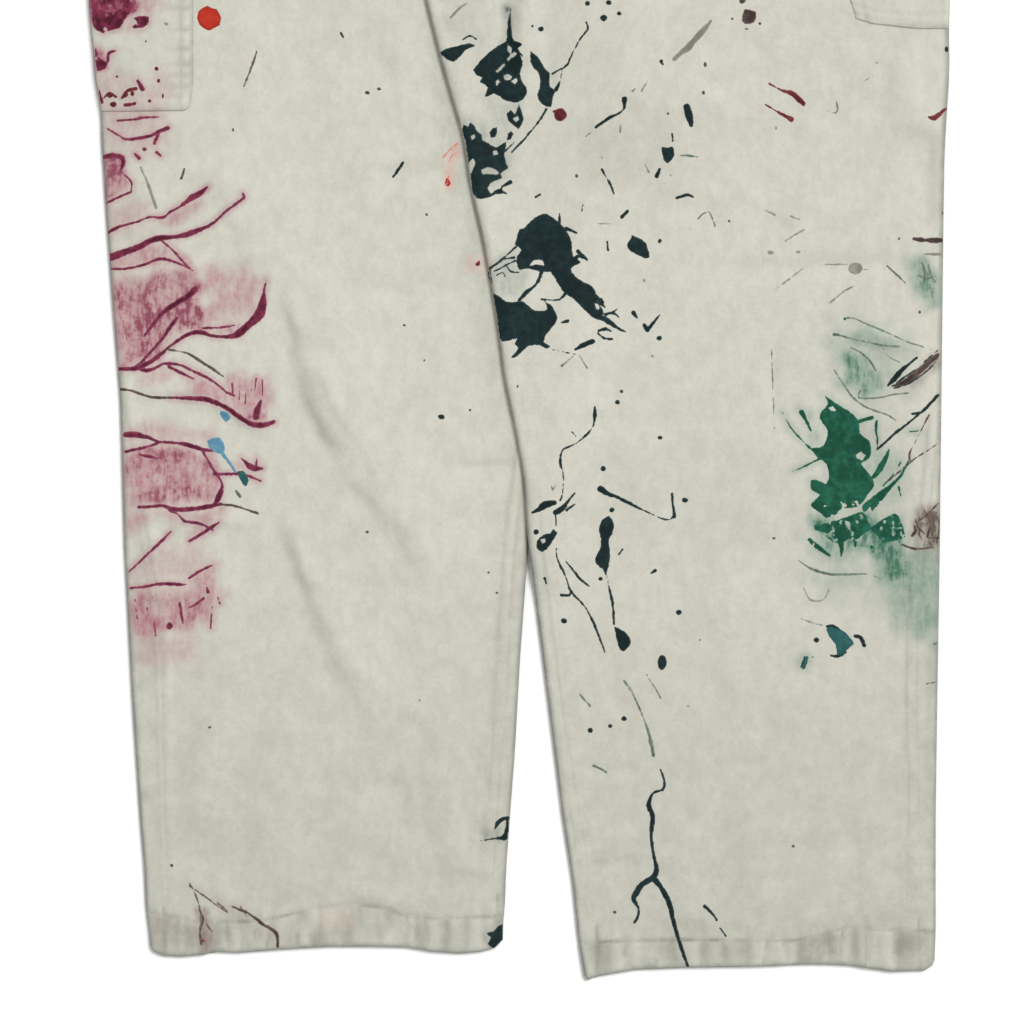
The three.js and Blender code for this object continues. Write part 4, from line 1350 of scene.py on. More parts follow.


# Paint films. Strokes are (x, up, half width), drops (x, up, radius across, radius along), pools are outlines
# and gaps are left bare. All of them were laid on one by one and stand proud of the cloth.
paintGrid = {
    "step": 0.65, "lift": 0.3, "edge": 0.8, "sink": -0.03, "ragged": 0.3, "raggedSize": 1.6,
    "thinnest": 0.42,  # half width below which no stroke falls
    "climb": 1.1,  # no film where the cloth steps more than this
}
paint = {
    "crimson": {
        "hex": "#4b1526", "worn": "#7f324a", "thin": "#96506a", "thinMm": 1.1, "narrow": 0.84,
        "halo": (3.6, 0.4),
        "strokes": [
            [(-269, 503.5, 1.2), (-261, 507.5, 1.2), (-252, 511.5, 1)],
            [(-267, 485, 1.6), (-260.5, 488.5, 1.3), (-248, 492, 1), (-240, 495, 1), (-231.5, 494.5, 1.2),
             (-227.5, 497.5, 1.2), (-219, 502.5, 1.4), (-212.5, 507.5, 2.6), (-207.5, 510, 2.6),
             (-201.5, 515, 0.8)],
            [(-265.5, 469, 3.2), (-258, 471.5, 2.9), (-249, 475, 2.6), (-243.5, 477.5, 2.3),
             (-239, 480, 2.3), (-232, 481.5, 2.3), (-224, 482, 1.6), (-215, 484, 2.3), (-206, 487.5, 1.9),
             (-199, 491, 1.3), (-190, 499, 1), (-178.5, 507.5, 1.3), (-179.5, 510, 1)],
            [(-232, 479.5, 1), (-224, 472.5, 1), (-215, 462.5, 0.9), (-210.5, 459.5, 0.6)],
            [(-265.5, 461.5, 1.3), (-256.5, 461.5, 1.2), (-245.5, 463.5, 1.2), (-239, 466, 1.3),
             (-232.5, 468, 1.6), (-224, 466, 1.2), (-215, 462, 0.8)],
            [(-210.5, 448.5, 2.6), (-216, 443, 2.6), (-224, 438.5, 2.3), (-232.5, 432, 1.9),
             (-239, 424, 1.6), (-243.5, 418, 1)],
            [(-222.5, 429.5, 1.6), (-228, 422, 1.6), (-232.5, 415.5, 1.3), (-243.5, 403, 1.3),
             (-249.5, 398, 1)],
            [(-164.5, 454, 0.6), (-166, 446.5, 1.3), (-167, 438.5, 3.6), (-169.5, 431, 3.9),
             (-176, 425, 2.9), (-182.5, 419.5, 2.9), (-189, 417.5, 1.6), (-199, 418, 1.4),
             (-207.5, 420.5, 1.9), (-215, 419, 1.6), (-222.5, 414.5, 1.3), (-228.5, 410, 1.3),
             (-235.5, 404, 1.3), (-249, 396, 1.2)],
            [(-205.5, 423, 1), (-194.5, 423.5, 1), (-184, 425, 0.8)],
            [(-260, 396.5, 1.6), (-249, 397, 1.9), (-239, 401.5, 1.9), (-230.5, 408, 1.6)],
            [(-249, 397, 1), (-242.5, 395.5, 1.6), (-236.5, 397, 1.3), (-231.5, 400, 1.3),
             (-226, 400, 1.3), (-219.5, 399, 1.2), (-212.5, 395.5, 1.2), (-202, 390.5, 1.2),
             (-196, 386.5, 1), (-190, 381.5, 1.3), (-184.5, 379, 1)],
            [(-227.5, 398, 1.3), (-219.5, 394, 1.3), (-211, 390, 0.8)],
            [(-226, 378, 1.4), (-214, 377.5, 1.6), (-204.5, 377, 2.1), (-197.5, 375, 2.1),
             (-190, 371.5, 1.9), (-184.5, 367.5, 1.9), (-179.5, 364, 1.9), (-173, 360.5, 2.3),
             (-164.5, 360.5, 2.3), (-159.5, 362.5, 1.3)],
            [(-168, 376, 1.3), (-170, 370.5, 2.6), (-171, 365.5, 2.6)],
            [(-186.5, 387, 0.8), (-186, 380.5, 0.9)], [(-173.5, 389, 0.6), (-174, 382.5, 0.6)],
            [(-171, 390.5, 0.6), (-172, 383, 0.6)], [(-167, 389.5, 0.5), (-167, 379, 0.6)],
            [(-181.5, 385.5, 0.5), (-182, 376.5, 0.6)], [(-177.5, 384.5, 0.5), (-178, 374, 0.6)],
            [(-255.5, 354, 2.3), (-249, 354, 2.6), (-240.5, 352, 1.6), (-235, 349.5, 1.3),
             (-226, 349, 1.4), (-218.5, 348, 1.6), (-212.5, 346.5, 1.9), (-206, 344.5, 1.6),
             (-199.5, 343.5, 1.3)],
            [(-255.5, 343, 1.4), (-249, 344.5, 1.4), (-242.5, 346, 1.3), (-235, 348.5, 1.2)],
            [(-246.5, 341, 1.2), (-240.5, 340, 1.3), (-235, 338.5, 0.9)],
            [(-206, 344, 1), (-202, 337, 1.3), (-198.5, 331, 1.3), (-194, 324.5, 0.9), (-193, 320, 1.3),
             (-194.5, 315.5, 2.6), (-197.5, 309.5, 1.9), (-201, 307, 1.3)],
            [(-180.5, 338.5, 0.8), (-173.5, 332.5, 2.6), (-167, 332, 1)],
            [(-170.5, 338.5, 0.6), (-171, 333, 1.3)],
            [(-198.5, 328.5, 1.3), (-189.5, 328.5, 1.2), (-182.5, 328.5, 1.2), (-175.5, 327, 1.2),
             (-168, 324, 0.8)],
            [(-247, 307, 1.3), (-239, 307.5, 1.4), (-231.5, 308, 1.6), (-226, 306, 1.8),
             (-219.5, 305.5, 1.9), (-211, 306, 1.9), (-201, 307.5, 1.9), (-194, 309, 1.3)],
            [(-231.5, 308, 0.6), (-225.5, 304, 0.9), (-221.5, 302.5, 0.8), (-217.5, 298, 1.3),
             (-210.5, 297, 1.3), (-204, 295, 1.3), (-199, 292, 0.8)],
            [(-214.5, 285, 1.3), (-207.5, 289, 1.3), (-203, 292, 1.6), (-198.5, 295, 1.3),
             (-194.5, 297.5, 0.6)],
            [(-253.5, 265, 0.8), (-243, 275, 1), (-234.5, 283, 1.3), (-226, 291.5, 0.9)],
            [(-214.5, 261, 1), (-207.5, 265.5, 1.3), (-199.5, 269.5, 0.6)],
            [(-252.5, 254.5, 1), (-243, 255.5, 1.2), (-236.5, 257, 1.3), (-230, 257.5, 1.6),
             (-220.5, 257, 1.3), (-216, 257, 0.6)],
            [(-215, 241.5, 0.6), (-209.5, 244.5, 1), (-205, 248, 1.3)],
            [(-203.5, 257.5, 0.6), (-202, 252, 1.4)],
            [(-220.5, 245, 1), (-219.5, 238, 1.3), (-218.5, 231.5, 0.9)],
            [(-199.5, 242.5, 0.6), (-200.5, 228.5, 0.9)], [(-237, 232.5, 0.6), (-236, 223.5, 0.8)],
            [(-196, 249, 0.6), (-194.5, 244.5, 1)], [(-249.5, 247, 0.6), (-248, 235, 0.9)],
            [(-241.5, 248, 0.5), (-241.5, 240.5, 0.7)],
            [(-262, 602.5, 1), (-266.5, 601, 1.3), (-267, 596, 1.3)],
            [(-247.5, 583, 1.6), (-244.5, 578, 1.9)], [(-273, 577, 1.4), (-271, 569.5, 1.6)],
            [(-256, 567.5, 1.4), (-249.5, 568.5, 1.4)],
            [(-261, 557.5, 1), (-249, 558.5, 1.2), (-245.5, 559.5, 1.3), (-234.5, 560, 0.8)],
            [(-267, 552, 1.3), (-260, 548, 1), (-255.5, 545.5, 1), (-248, 546, 1.6), (-239, 548, 1.3),
             (-234, 550.5, 1.6), (-228, 553, 1.7)], [(-234, 550, 1.3), (-237, 543, 1.6)],
            [(-235.5, 537, 1.3), (-233, 535, 1)], [(-249.5, 536, 1.3), (-247, 533.5, 1.6)],
            [(-269.5, 534, 1.9), (-264.5, 535, 2.3), (-258, 533.5, 2.1), (-257.5, 529, 1.8),
             (-259, 525, 1.3)], [(-258, 524, 0.8), (-252, 518, 0.9), (-252, 512.5, 0.9)],
            [(-275, 604.5, 1), (-274, 595.5, 1.6)],
            [(-277.5, 633, 1), (-275.5, 619, 1.3), (-270, 615, 1.3)],
        ],
        "pools": [
            [(-279.5, 646), (-254, 647.5), (-250, 634.5), (-252, 627.5), (-256.5, 622.5), (-259, 617.5),
             (-271, 615), (-275, 619), (-278, 630.5)],
            [(-252, 617), (-251, 623.5), (-248, 625), (-240.5, 625), (-241.5, 619), (-246, 617.5)],
            [(-273.5, 599), (-270, 597), (-266.5, 595), (-268.5, 591), (-274, 589.5), (-275, 595.5)],
        ],
        "dry": [
            (0.22, 3.4, [(-285, 700), (-225, 700), (-225, 585), (-285, 585)]),
        ],
        "drops": [
            (-227, 230, 2.3, 2.5), (-27.5, 464.5, 1.9, 1.6), (-205.5, 26, 1.9, 1.3),
        ],
    },
    "black": {
        "hex": "#122122", "worn": "#1c3031", "thin": "#55605c", "thinMm": 0.75, "narrow": 0.84,
        "strokes": [
            [(17, 564.5, 1.2), (12, 556.5, 1), (3, 545.5, 0.9), (-5.5, 536.5, 0.8)],
            [(23.5, 577.5, 1.6), (26, 583, 0.8), (27.5, 590.5, 0.7), (31, 593.5, 1.2), (33.5, 600, 0.7),
             (39, 610, 0.8), (44, 616.5, 1), (42.5, 621, 0.8)], [(21, 587.5, 0.9), (27, 591, 0.9)],
            [(25.5, 497.5, 1), (25.5, 491, 1.3)], [(30, 487.5, 1.6), (36.5, 484.5, 1)],
            [(37.5, 472.5, 1.6), (41, 469, 1.7), (43.5, 467, 0.9)],
            [(48, 444, 2.2), (52, 440, 1.8), (55, 436.5, 1)],
            [(49, 431, 2.6), (55.5, 428.5, 2.2), (61, 425, 1.6), (67.5, 421, 0.6)],
            [(55.5, 432, 1.6), (59.5, 433, 1), (63, 435.5, 0.6)],
            [(14, 459, 1.7), (10.5, 451.5, 1.3), (3, 445, 1.9), (-1, 440.5, 1)],
            [(29, 445, 1.3), (26, 441.5, 0.9), (19.5, 441, 0.8), (14, 441.5, 1)],
            [(35.5, 409, 1.2), (42, 412.5, 2.2), (47, 414.5, 2.1)], [(20.5, 409, 0.5), (35.5, 406, 0.6)],
            [(73.5, 433, 1.9), (76, 429.5, 0.9)], [(56.5, 479, 0.8), (57, 473.5, 0.9)],
            [(66, 495, 1.7), (69.5, 498.5, 1.6)], [(40.5, 502.5, 0.9), (40, 498.5, 1)],
            [(80.5, 425, 1.8), (82.5, 422, 1.9), (86, 426, 1.4), (90.5, 431.5, 0.8)],
            [(48.5, 372, 0.8), (48.5, 367.5, 1.6), (47.5, 360, 0.8), (43, 354, 1.1), (36.5, 348.5, 0.7),
             (30, 345.5, 0.9), (27, 343, 0.9), (26, 335.5, 1.2), (28, 328, 0.6), (27.5, 316, 0.7),
             (26, 311.5, 1.2)], [(32.5, 357, 0.6), (36.5, 352.5, 0.6)],
            [(8, 303.5, 1.3), (11, 305, 1.7), (16.5, 308.5, 3.2), (22.5, 310, 1.7)],
            [(22.5, 303.5, 1.9), (27.5, 306, 2.5), (31, 311, 1.3), (35.5, 316, 0.8)],
            [(30, 305, 1.3), (35.5, 309, 0.6)], [(23, 302, 0.7), (23.5, 293.5, 0.7)],
            [(23.5, 280.5, 0.6), (24, 274, 0.6), (27.5, 266.5, 1.2), (30.5, 259.5, 0.8), (33, 252.5, 1.3),
             (42, 242.5, 0.8), (48.5, 230, 1.2), (55, 213, 0.8)],
            [(29.5, 272, 0.6), (33.5, 267.5, 0.7), (39, 260.5, 1.2), (46.5, 254.5, 0.5)],
            [(33, 252.5, 1.3), (32, 250, 1.3), (26.5, 250, 1.3)],
            [(52, 319, 2.6), (56.5, 316, 2.2), (63, 313.5, 1.6), (71, 309.5, 1.4), (82, 304, 0.8),
             (92.5, 299.5, 0.7), (97, 299, 0.8), (100, 301, 1.4), (99, 308.5, 0.8), (98.5, 315.5, 1.3)],
            [(56, 263.5, 0.6), (58, 253.5, 0.8), (60, 244.5, 1.3), (61, 231, 1)],
            [(16, 261, 1.3), (17, 257.5, 1)], [(85, 264.5, 1), (87.5, 266, 1.6)],
            [(64, 276.5, 0.8), (66.5, 279.5, 1)], [(129.5, 34.5, 0.8), (133.5, 29, 0.7)],
            [(67.5, 571, 2.6), (67.5, 565.5, 1), (64, 562, 1), (58.5, 559.5, 1.3), (54, 556.5, 1),
             (49, 553, 1.2)], [(53, 525.5, 1.3), (55.5, 521, 0.6), (58.5, 516, 1.2), (61, 509.5, 0.6)],
            [(108, 566.5, 3), (109.5, 561, 3.1), (111, 554.5, 1.8)], [(98.5, 549, 0.8), (99, 544.5, 1)],
            [(90.5, 526, 1.3), (88.5, 521.5, 1.9)],
            [(101.5, 507.5, 1.3), (109, 509.5, 1.2), (112, 508, 0.8)],
            [(-116, 614.5, 1), (-114.5, 611.5, 0.8)], [(92.5, 594, 1), (91.5, 596, 1.8)],
            [(10, 507.5, 1), (13, 509.5, 0.9)], [(-6, 629.5, 0.5), (-6.5, 624.5, 0.9), (-7, 619.5, 1.3)],
            [(-37, 609.5, 0.8), (-32.5, 612, 0.9), (-28.5, 610, 0.8)],
            [(1.5, 606.5, 0.8), (-1.5, 603.5, 0.6), (1.5, 598.5, 0.6)],
            [(-22.5, 573, 0.6), (-20, 578, 1.2)], [(-35.5, 552.5, 1), (-37.5, 548.5, 0.7)],
            [(-9.5, 537.5, 0.7), (-4, 543, 0.5)], [(-11.5, 514.5, 1.2), (-6, 517.5, 1.6)],
            [(-9, 510, 0.9), (-12.5, 512, 1.2)],
            [(-20, 461.5, 1.2), (-15, 464.5, 1.3), (-11, 468, 0.9), (-6.5, 472, 0.9), (-2.5, 475.5, 1.3)],
            [(-19.5, 462, 1.2), (-20, 458, 1.2), (-18.5, 452.5, 1)],
            [(-17, 459.5, 0.6), (-12, 462, 0.9), (-8.5, 464, 0.7), (-3, 466.5, 0.9)],
            [(-11, 467.5, 0.6), (-4, 468.5, 1.2)], [(-8.5, 463, 0.8), (-6, 459.5, 0.9), (-1, 459, 0.7)],
            [(-16, 456.5, 0.5), (-11, 459, 0.6), (-9.5, 456, 0.5)],
            [(34, 466.5, 1.7), (37.5, 469.5, 1.4), (43, 467.5, 0.8)],
            [(27, 426.5, 1.1), (31, 427.5, 1.4)], [(51, 421.5, 1.2), (55.5, 422.5, 1.4), (59, 421, 0.7)],
            [(50.5, 419.5, 0.7), (54.5, 416.5, 1.1), (60, 416, 0.8)],
            [(48.5, 437.5, 0.7), (53.5, 439.5, 1.3), (52.5, 442, 1)],
            [(48.5, 433, 1.6), (55.5, 428, 1.8), (62.5, 423.5, 1.4), (69, 420.5, 0.6)],
            [(55.5, 431.5, 0.6), (61, 432.5, 0.9), (64, 430, 0.5)],
            [(91, 137, 1), (93.5, 129.5, 1), (92.5, 124, 1.2), (86, 121.5, 1.1), (83.5, 113.5, 2),
             (86, 107, 2.1), (85, 94, 1.7), (86.5, 82, 1.4), (88.5, 71.5, 2.1), (86, 67, 2.6)],
            [(85.5, 66.5, 2.6), (79.5, 63, 2.4), (75.5, 57.5, 2.7), (73.5, 53, 2.1), (76.5, 48, 1.3),
             (76.5, 42, 1.1), (74, 38, 1.2)],
            [(86, 67, 2.6), (91.5, 60.5, 2.2), (96.5, 51, 2.3), (100, 36.5, 1.6), (104.5, 21.5, 1.8),
             (109, 9, 1.2)],
            [(57.5, 300.5, 1.4), (56, 294, 5.8), (55, 286.5, 3.2), (55, 279, 4.2), (53.5, 273, 5.8),
             (55, 268.5, 2.8), (55.5, 263.5, 0.8)],
            [(-16, 99, 0.8), (-14.5, 102.5, 1.6), (-11, 105, 1.8), (-8, 105.5, 1.8), (-8, 100, 2),
             (-8.5, 95.5, 2.7), (-10.5, 92.5, 2.4)],
            [(-26, 91, 0.5), (-21.5, 91.5, 0.9), (-15.5, 92.5, 1.1), (-10.5, 92.5, 1.9)],
            [(119.5, 48.5, 1.6), (124, 44.5, 1.3), (127.5, 39.5, 1.2)],
            [(-82.5, 521, 0.8), (-79, 525.5, 1.4), (-76, 530, 1.6)],
            [(257, 404, 1), (252, 399.5, 1.125), (247, 395.5, 2), (242.5, 390, 2.125),
             (238.5, 386, 1.125)],
            [(271, 379.5, 1.5), (265.5, 374, 1.25), (260, 368.5, 1.5), (254, 367.5, 1)],
            [(260, 368.5, 1.25), (251.5, 361.5, 1.125), (243, 355, 1.25), (236, 348.5, 1),
             (231.5, 344.5, 1.125)],
            [(271, 409, 0.7), (266, 404.5, 0.8), (256, 396, 0.7), (248, 390.5, 0.9), (243, 386.5, 0.7)],
            [(270, 401.5, 0.6), (262, 394, 0.7), (252, 387.5, 0.9), (242, 384, 0.9)],
            [(199, 229.5, 1.3), (203, 230, 1.5), (207.5, 227, 0.9), (212, 221.5, 0.6)],
            [(201.5, 211, 0.8), (206, 210.5, 1.3), (211, 213, 0.9)],
            [(217, 223.5, 1.2), (221, 222.5, 1.7), (223, 217.5, 1.5)],
            [(182, 203.5, 0.8), (184, 207.5, 1.3), (184.5, 210.5, 0.8)],
        ],
        "pools": [
            [(-4, 477), (-2, 482), (-0.5, 487), (3, 488), (6.5, 492), (12.5, 496), (17, 497), (22, 494.5),
             (25.5, 491), (29.5, 487), (33, 480.5), (33.5, 475.5), (34.5, 469.5), (39.5, 465.5),
             (33.5, 462), (33.5, 459), (38.5, 454.5), (44.5, 451.5), (48.5, 448), (49.5, 442.5),
             (52, 437.5), (54.5, 432.5), (48.5, 429), (40, 436), (33.5, 442.5), (29, 445), (23.5, 452.5),
             (20, 459), (14, 459), (5, 461.5), (-0.5, 460.5), (-2.5, 465.5), (-2, 469.5), (0.5, 473.5)],
            [(-18.5, 446.5), (-12.5, 443), (-8.5, 440), (-2.5, 440), (2.5, 440), (7, 436), (12.5, 434),
             (17, 435), (16.5, 439), (14, 441.5), (20, 438), (24.5, 429), (20.5, 423), (16.5, 417.5),
             (15.5, 414), (20.5, 411), (17, 409), (12.5, 412), (5.5, 411), (2.5, 408.5), (-1, 405),
             (-6, 403.5), (-1, 410), (-3.5, 412.5), (-2, 416), (-11.5, 414), (-14.5, 419.5), (-15, 430),
             (-17.5, 441.5)], [(72.5, 483.5), (81.5, 478.5), (84, 469), (81.5, 468), (69.5, 474.5)],
            [(91.5, 541), (96, 540), (99, 541), (100, 535), (95.5, 529.5), (92.5, 534)],
            [(21.5, 293.5), (24.5, 290.5), (21.5, 285.5), (17, 279.5), (14.5, 278), (10.5, 280.5),
             (11, 285.5), (15.5, 289.5), (19.5, 290.5)],
            [(61, 230), (65.5, 228), (69.5, 225), (72, 219.5), (67, 213), (63.5, 217.5)],
            [(-52, 601.5), (-48.5, 603.5), (-41, 605.5), (-37, 606.5), (-32.5, 607.5), (-29, 605.5),
             (-32.5, 604), (-35.5, 602), (-38.5, 598.5), (-43, 595), (-47.5, 596.5), (-50.5, 599)],
            [(-30.5, 590), (-25.5, 596), (-15.5, 605), (-9, 608.5), (-8.5, 614.5), (-7.5, 620),
             (-6, 619.5), (-5, 613), (-4, 608.5), (2.5, 606.5), (-1, 603.5), (0.5, 598.5), (2, 593),
             (0, 588), (2.5, 581), (4.5, 578.5), (4, 573), (-0.5, 569), (-8.5, 569.5), (-13.5, 573),
             (-17, 574.5), (-22.5, 572.5), (-20, 578), (-26, 582), (-24.5, 585), (-28, 586)],
            [(6.5, 602), (9, 600.5), (12, 598), (15, 593), (19.5, 588), (19, 584.5), (19.5, 579.5),
             (23, 576), (21.5, 572), (20, 566), (16.5, 566), (13.5, 568.5), (11, 573.5), (12.5, 578.5),
             (13, 583), (11.5, 588.5), (8, 591.5), (6.5, 595)],
            [(-0.5, 569.5), (0.5, 564.5), (2.5, 558), (-1, 551.5), (-4, 554), (-8, 557.5), (-9, 561.5),
             (-6, 564.5), (-3.5, 561.5), (-2, 564.5)],
            [(-20, 550), (-17.5, 552.5), (-14.5, 553.5), (-14.5, 550), (-16, 546.5), (-19, 546)],
            [(-8, 548.5), (-5.5, 550.5), (-4, 548.5), (-6, 545), (-8.5, 544.5)],
            [(-37, 555), (-33.5, 553), (-32.5, 556), (-29, 553), (-27.5, 550), (-24.5, 548.5),
             (-24, 544.5), (-20, 542.5), (-15.5, 540), (-8.5, 544), (-9, 540), (-10, 535.5), (-9, 530),
             (-7.5, 526.5), (-12.5, 523), (-11.5, 520), (-11, 511.5), (-9, 510), (-15.5, 509.5),
             (-20, 507.5), (-25.5, 506), (-30.5, 509), (-32, 519), (-33, 526), (-34.5, 536),
             (-35.5, 544.5), (-37.5, 548.5)],
            [(-21.5, 24), (-19, 28), (-22, 31), (-17, 32.5), (-13, 36.5), (-9, 37.5), (-8.5, 28),
             (-11, 21.5), (-15.5, 20)],
        ],
        "gaps": [
            [(6.5, 463.5), (9.5, 467), (15, 466.5), (15.5, 463.5), (11.5, 464.5)],
            [(13.5, 286), (16, 286.5), (16.5, 284.5), (14.5, 283.5)],
            [(48, 439), (50, 438.5), (52, 435.5), (50, 435)],
            [(-15.5, 589), (-12.5, 592.5), (-10, 594.5), (-9.5, 593), (-12.5, 590), (-14.5, 588)],
            [(-8.5, 597), (-6, 599.5), (-3.5, 601), (-2.5, 600), (-5.5, 597.5), (-7.5, 595.5)],
            [(-10.5, 586), (-8, 587), (-5.5, 585.5), (-6.5, 584), (-9.5, 583.5)],
            [(-5.5, 582.5), (-2.5, 584.5), (-1.5, 582.5), (-3.5, 580.5)],
            [(-16, 582.5), (-14, 584), (-13, 582), (-15, 580)],
            [(-8, 606.5), (-5.5, 604), (-6, 600.5), (-8, 602)],
            [(-33, 530), (-30.5, 532), (-29, 530), (-30.5, 527), (-32, 523), (-33, 525)],
            [(-25, 525.5), (-21, 527), (-15.5, 525.5), (-13.5, 523), (-15.5, 522), (-21, 523),
             (-24, 522.5)],
            [(-21, 513.5), (-19, 516.5), (-15.5, 518), (-12, 520), (-11.5, 517), (-13, 513.5),
             (-16.5, 512), (-19, 510)], [(-32, 547), (-29.5, 548), (-29, 546), (-31, 544.5)],
            [(-17.5, 537.5), (-15, 538), (-14.5, 535.5), (-17, 535)],
            [(-4, 558.5), (-1.5, 560.5), (-0.5, 558), (-2.5, 556)],
        ],
        "dry": [
            (0.3, 3.2, [(-9.0, 630.0), (-1.5, 630.0), (-1.5, 617.0), (-9.0, 617.0)]),
        ],
        "drops": [
            (13.5, 616.5, 1.9, 1.9), (8, 618, 1, 1.3), (43.5, 633, 1.8, 1.7), (57.5, 633.5, 2.1, 1.7),
            (64, 626.5, 1.7, 1.4), (54, 623.5, 2.5, 2.1), (90, 416.5, 2.1, 1.8), (90.5, 479.5, 1.4, 1.6),
            (10.5, 291, 1.9, 1.8), (54, 332, 1.9, 1.9), (63, 375, 1.7, 1.7), (91, 352, 1.8, 1.3),
            (107, 311.5, 2.2, 1.7), (59.5, 305, 1.7, 1.7), (52, 260.5, 1.8, 1.6), (28.5, 233.5, 2.1, 1.8),
            (103, 239, 2.1, 1.9), (92, 206.5, 3, 4.9), (45.5, 162.5, 1.8, 1.8), (58.5, 165, 1.6, 1.4),
            (67.5, 170, 1.9, 1.9), (-51, 365.5, 2.1, 1.7), (276.5, 603.5, 1.2, 2.2), (192, 221, 1.8, 1.9),
        ],
    },
    "green": {
        "hex": "#144534", "worn": "#22604a", "thin": "#3f7560", "thinMm": 0.8, "narrow": 0.88,
        "halo": (3.5, 0.25),
        "strokes": [
            [(228, 365, 1.6), (223.5, 364, 1.4), (219.5, 362.5, 1.6)],
            [(231, 363, 1), (230.5, 357, 1.4), (231.5, 352, 0.9), (231.5, 346, 0.6)],
            [(239, 344.5, 0.6), (237, 339, 1.8), (233.5, 332.5, 2.3), (229.5, 327, 1.9)],
            [(252.5, 338.5, 0.6), (247, 328, 1), (239, 319.5, 1.9), (231.5, 312.5, 3.6),
             (225.5, 306.5, 4.2)], [(247, 336.5, 0.5), (241, 327, 0.6), (235.5, 321, 0.9)],
            [(187.5, 286, 1.6), (193, 281, 1.9), (200.5, 276, 1.3)],
            [(207.5, 286, 2.6), (208.5, 280, 1.7), (208, 275, 0.8)],
            [(217.5, 288.5, 1.9), (217, 283, 1.7), (215, 278, 0.9)],
            [(182.5, 368.5, 2.2), (186.5, 361, 1.3), (188.5, 356.5, 1)],
            [(170, 368.5, 0.5), (176, 358, 0.6), (184, 349, 0.7), (188, 345.5, 1)],
            [(194.5, 338.5, 1), (185.5, 334, 0.8), (176.5, 330, 0.5)],
            [(245.5, 320, 0.9), (247, 313.5, 0.9)], [(252.5, 356, 0.5), (260, 356.5, 0.6)],
        ],
        "pools": [
            [(196.5, 380.5), (204, 375), (216, 367.5), (219.5, 362.5), (220.5, 355), (226, 350.5),
             (228, 344), (226.5, 338.5), (221, 335.5), (223.5, 332), (228.5, 326), (229.5, 321),
             (225.5, 315), (221.5, 309.5), (217.5, 306.5), (208.5, 306), (205, 302.5), (198.5, 300),
             (194.5, 303), (188.5, 308), (191, 312), (194.5, 315), (189, 318), (188, 324.5), (193, 324.5),
             (198.5, 322), (200, 326), (198.5, 335), (193, 339), (188, 345.5), (194, 345.5), (197.5, 349),
             (199, 354), (198.5, 358.5), (194, 364.5), (195.5, 370), (199.5, 374)],
            [(190, 295.5), (198.5, 297), (210.5, 300.5), (222, 304), (225.5, 298.5), (228, 292.5),
             (224, 290.5), (219, 286), (216, 283.5), (213, 286), (209.5, 284), (205.5, 283.5),
             (200, 286.5), (195.5, 290.5), (191, 292)],
            [(230.5, 296), (235.5, 299.5), (243.5, 303), (246.5, 298.5), (249.5, 287.5), (240, 284.5),
             (234.5, 283.5), (231.5, 288.5), (226.5, 293)],
        ],
        "gaps": [
            [(217.5, 341), (221, 343), (224, 340.5), (221.5, 337.5), (218.5, 338.5)],
            [(206.5, 303.5), (214, 305.5), (217.5, 305.5), (216, 303.5), (208.5, 301.5)],
            [(224, 304), (227.5, 305), (230, 302.5), (227, 300)],
            [(211, 298), (213.5, 297), (214, 293), (212, 294)],
            [(199.5, 371.5), (203, 372.5), (205, 369.5), (202, 369.5)],
        ],
        "dry": [
            (0.2, 2.6, [(186, 312), (252, 312), (254, 268), (190, 268)]),
        ],
        "drops": [
            (189.5, 210, 0.9, 0.9), (210.5, 429, 1, 0.9), (228, 281, 1.3, 1.4), (96, 562, 0.9, 0.9),
        ],
    },
    "sage": {
        "hex": "#4b584e", "worn": "#748376", "thin": "#8d988b", "thinMm": 0.9, "narrow": 0.75,
        "strokes": [
            [(210.5, 429.5, 0.9), (216, 429.5, 0.8), (225, 425.5, 1), (233.5, 422, 1),
             (241.5, 418.5, 0.8), (249.5, 414.5, 0.8), (259, 411.5, 0.5), (267.5, 409, 0.5)],
            [(203.5, 419, 1.6), (208.5, 418, 1), (217, 415.5, 1), (225.5, 414, 1), (233.5, 412, 0.9),
             (245.5, 411, 0.9)], [(234, 411.5, 0.5), (239, 404.5, 0.5), (246, 401, 0.5)],
            [(214.5, 410.5, 0.6), (221, 407, 1.2), (227, 401.5, 1.2), (230.5, 395.5, 0.9)],
            [(200.5, 401, 0.6), (208, 389, 0.9), (216, 378, 0.9), (225, 371.5, 0.9), (238.5, 366.5, 0.9),
             (243.5, 363, 0.6)],
            [(220.5, 382.5, 1), (219.5, 378, 1), (232.5, 378, 1.1), (241.5, 380, 0.8), (251.5, 381, 1)],
            [(238, 463.5, 0.9), (245, 457, 1), (250, 452, 0.6)],
            [(103.5, 535, 0.5), (109, 535, 1.2), (115, 534, 0.6)],
            [(163, 409, 0.5), (164, 383, 0.5), (165, 357.5, 0.5)],
            [(180.5, 272.5, 0.6), (186.5, 268.5, 1.3), (193, 265.5, 1.4), (202, 263.5, 1.3),
             (214.5, 263.5, 1), (226.5, 263.5, 0.5), (234, 260, 0.6)],
            [(182, 235, 0.5), (188, 232.5, 0.8), (196, 230.5, 0.6)], [(38, 406, 0.6), (43.5, 397, 0.8)],
            [(36.5, 406.5, 0.6), (27, 398.5, 1.2)], [(23.5, 322.5, 0.5), (21, 318, 0.8), (20, 321, 0.5)],
            [(39, 185.5, 1.2), (45.5, 178, 1.2)],
            [(82, 198.5, 0.6), (86, 192, 0.5), (88.5, 188.5, 0.9), (91, 183.5, 0.8)],
            [(47.5, 139.5, 1.2), (52, 137.5, 1), (56, 135, 1.2)], [(45.5, 549.5, 0.5), (42.5, 547, 0.9)],
            [(65, 554, 0.9), (65, 550, 1)],
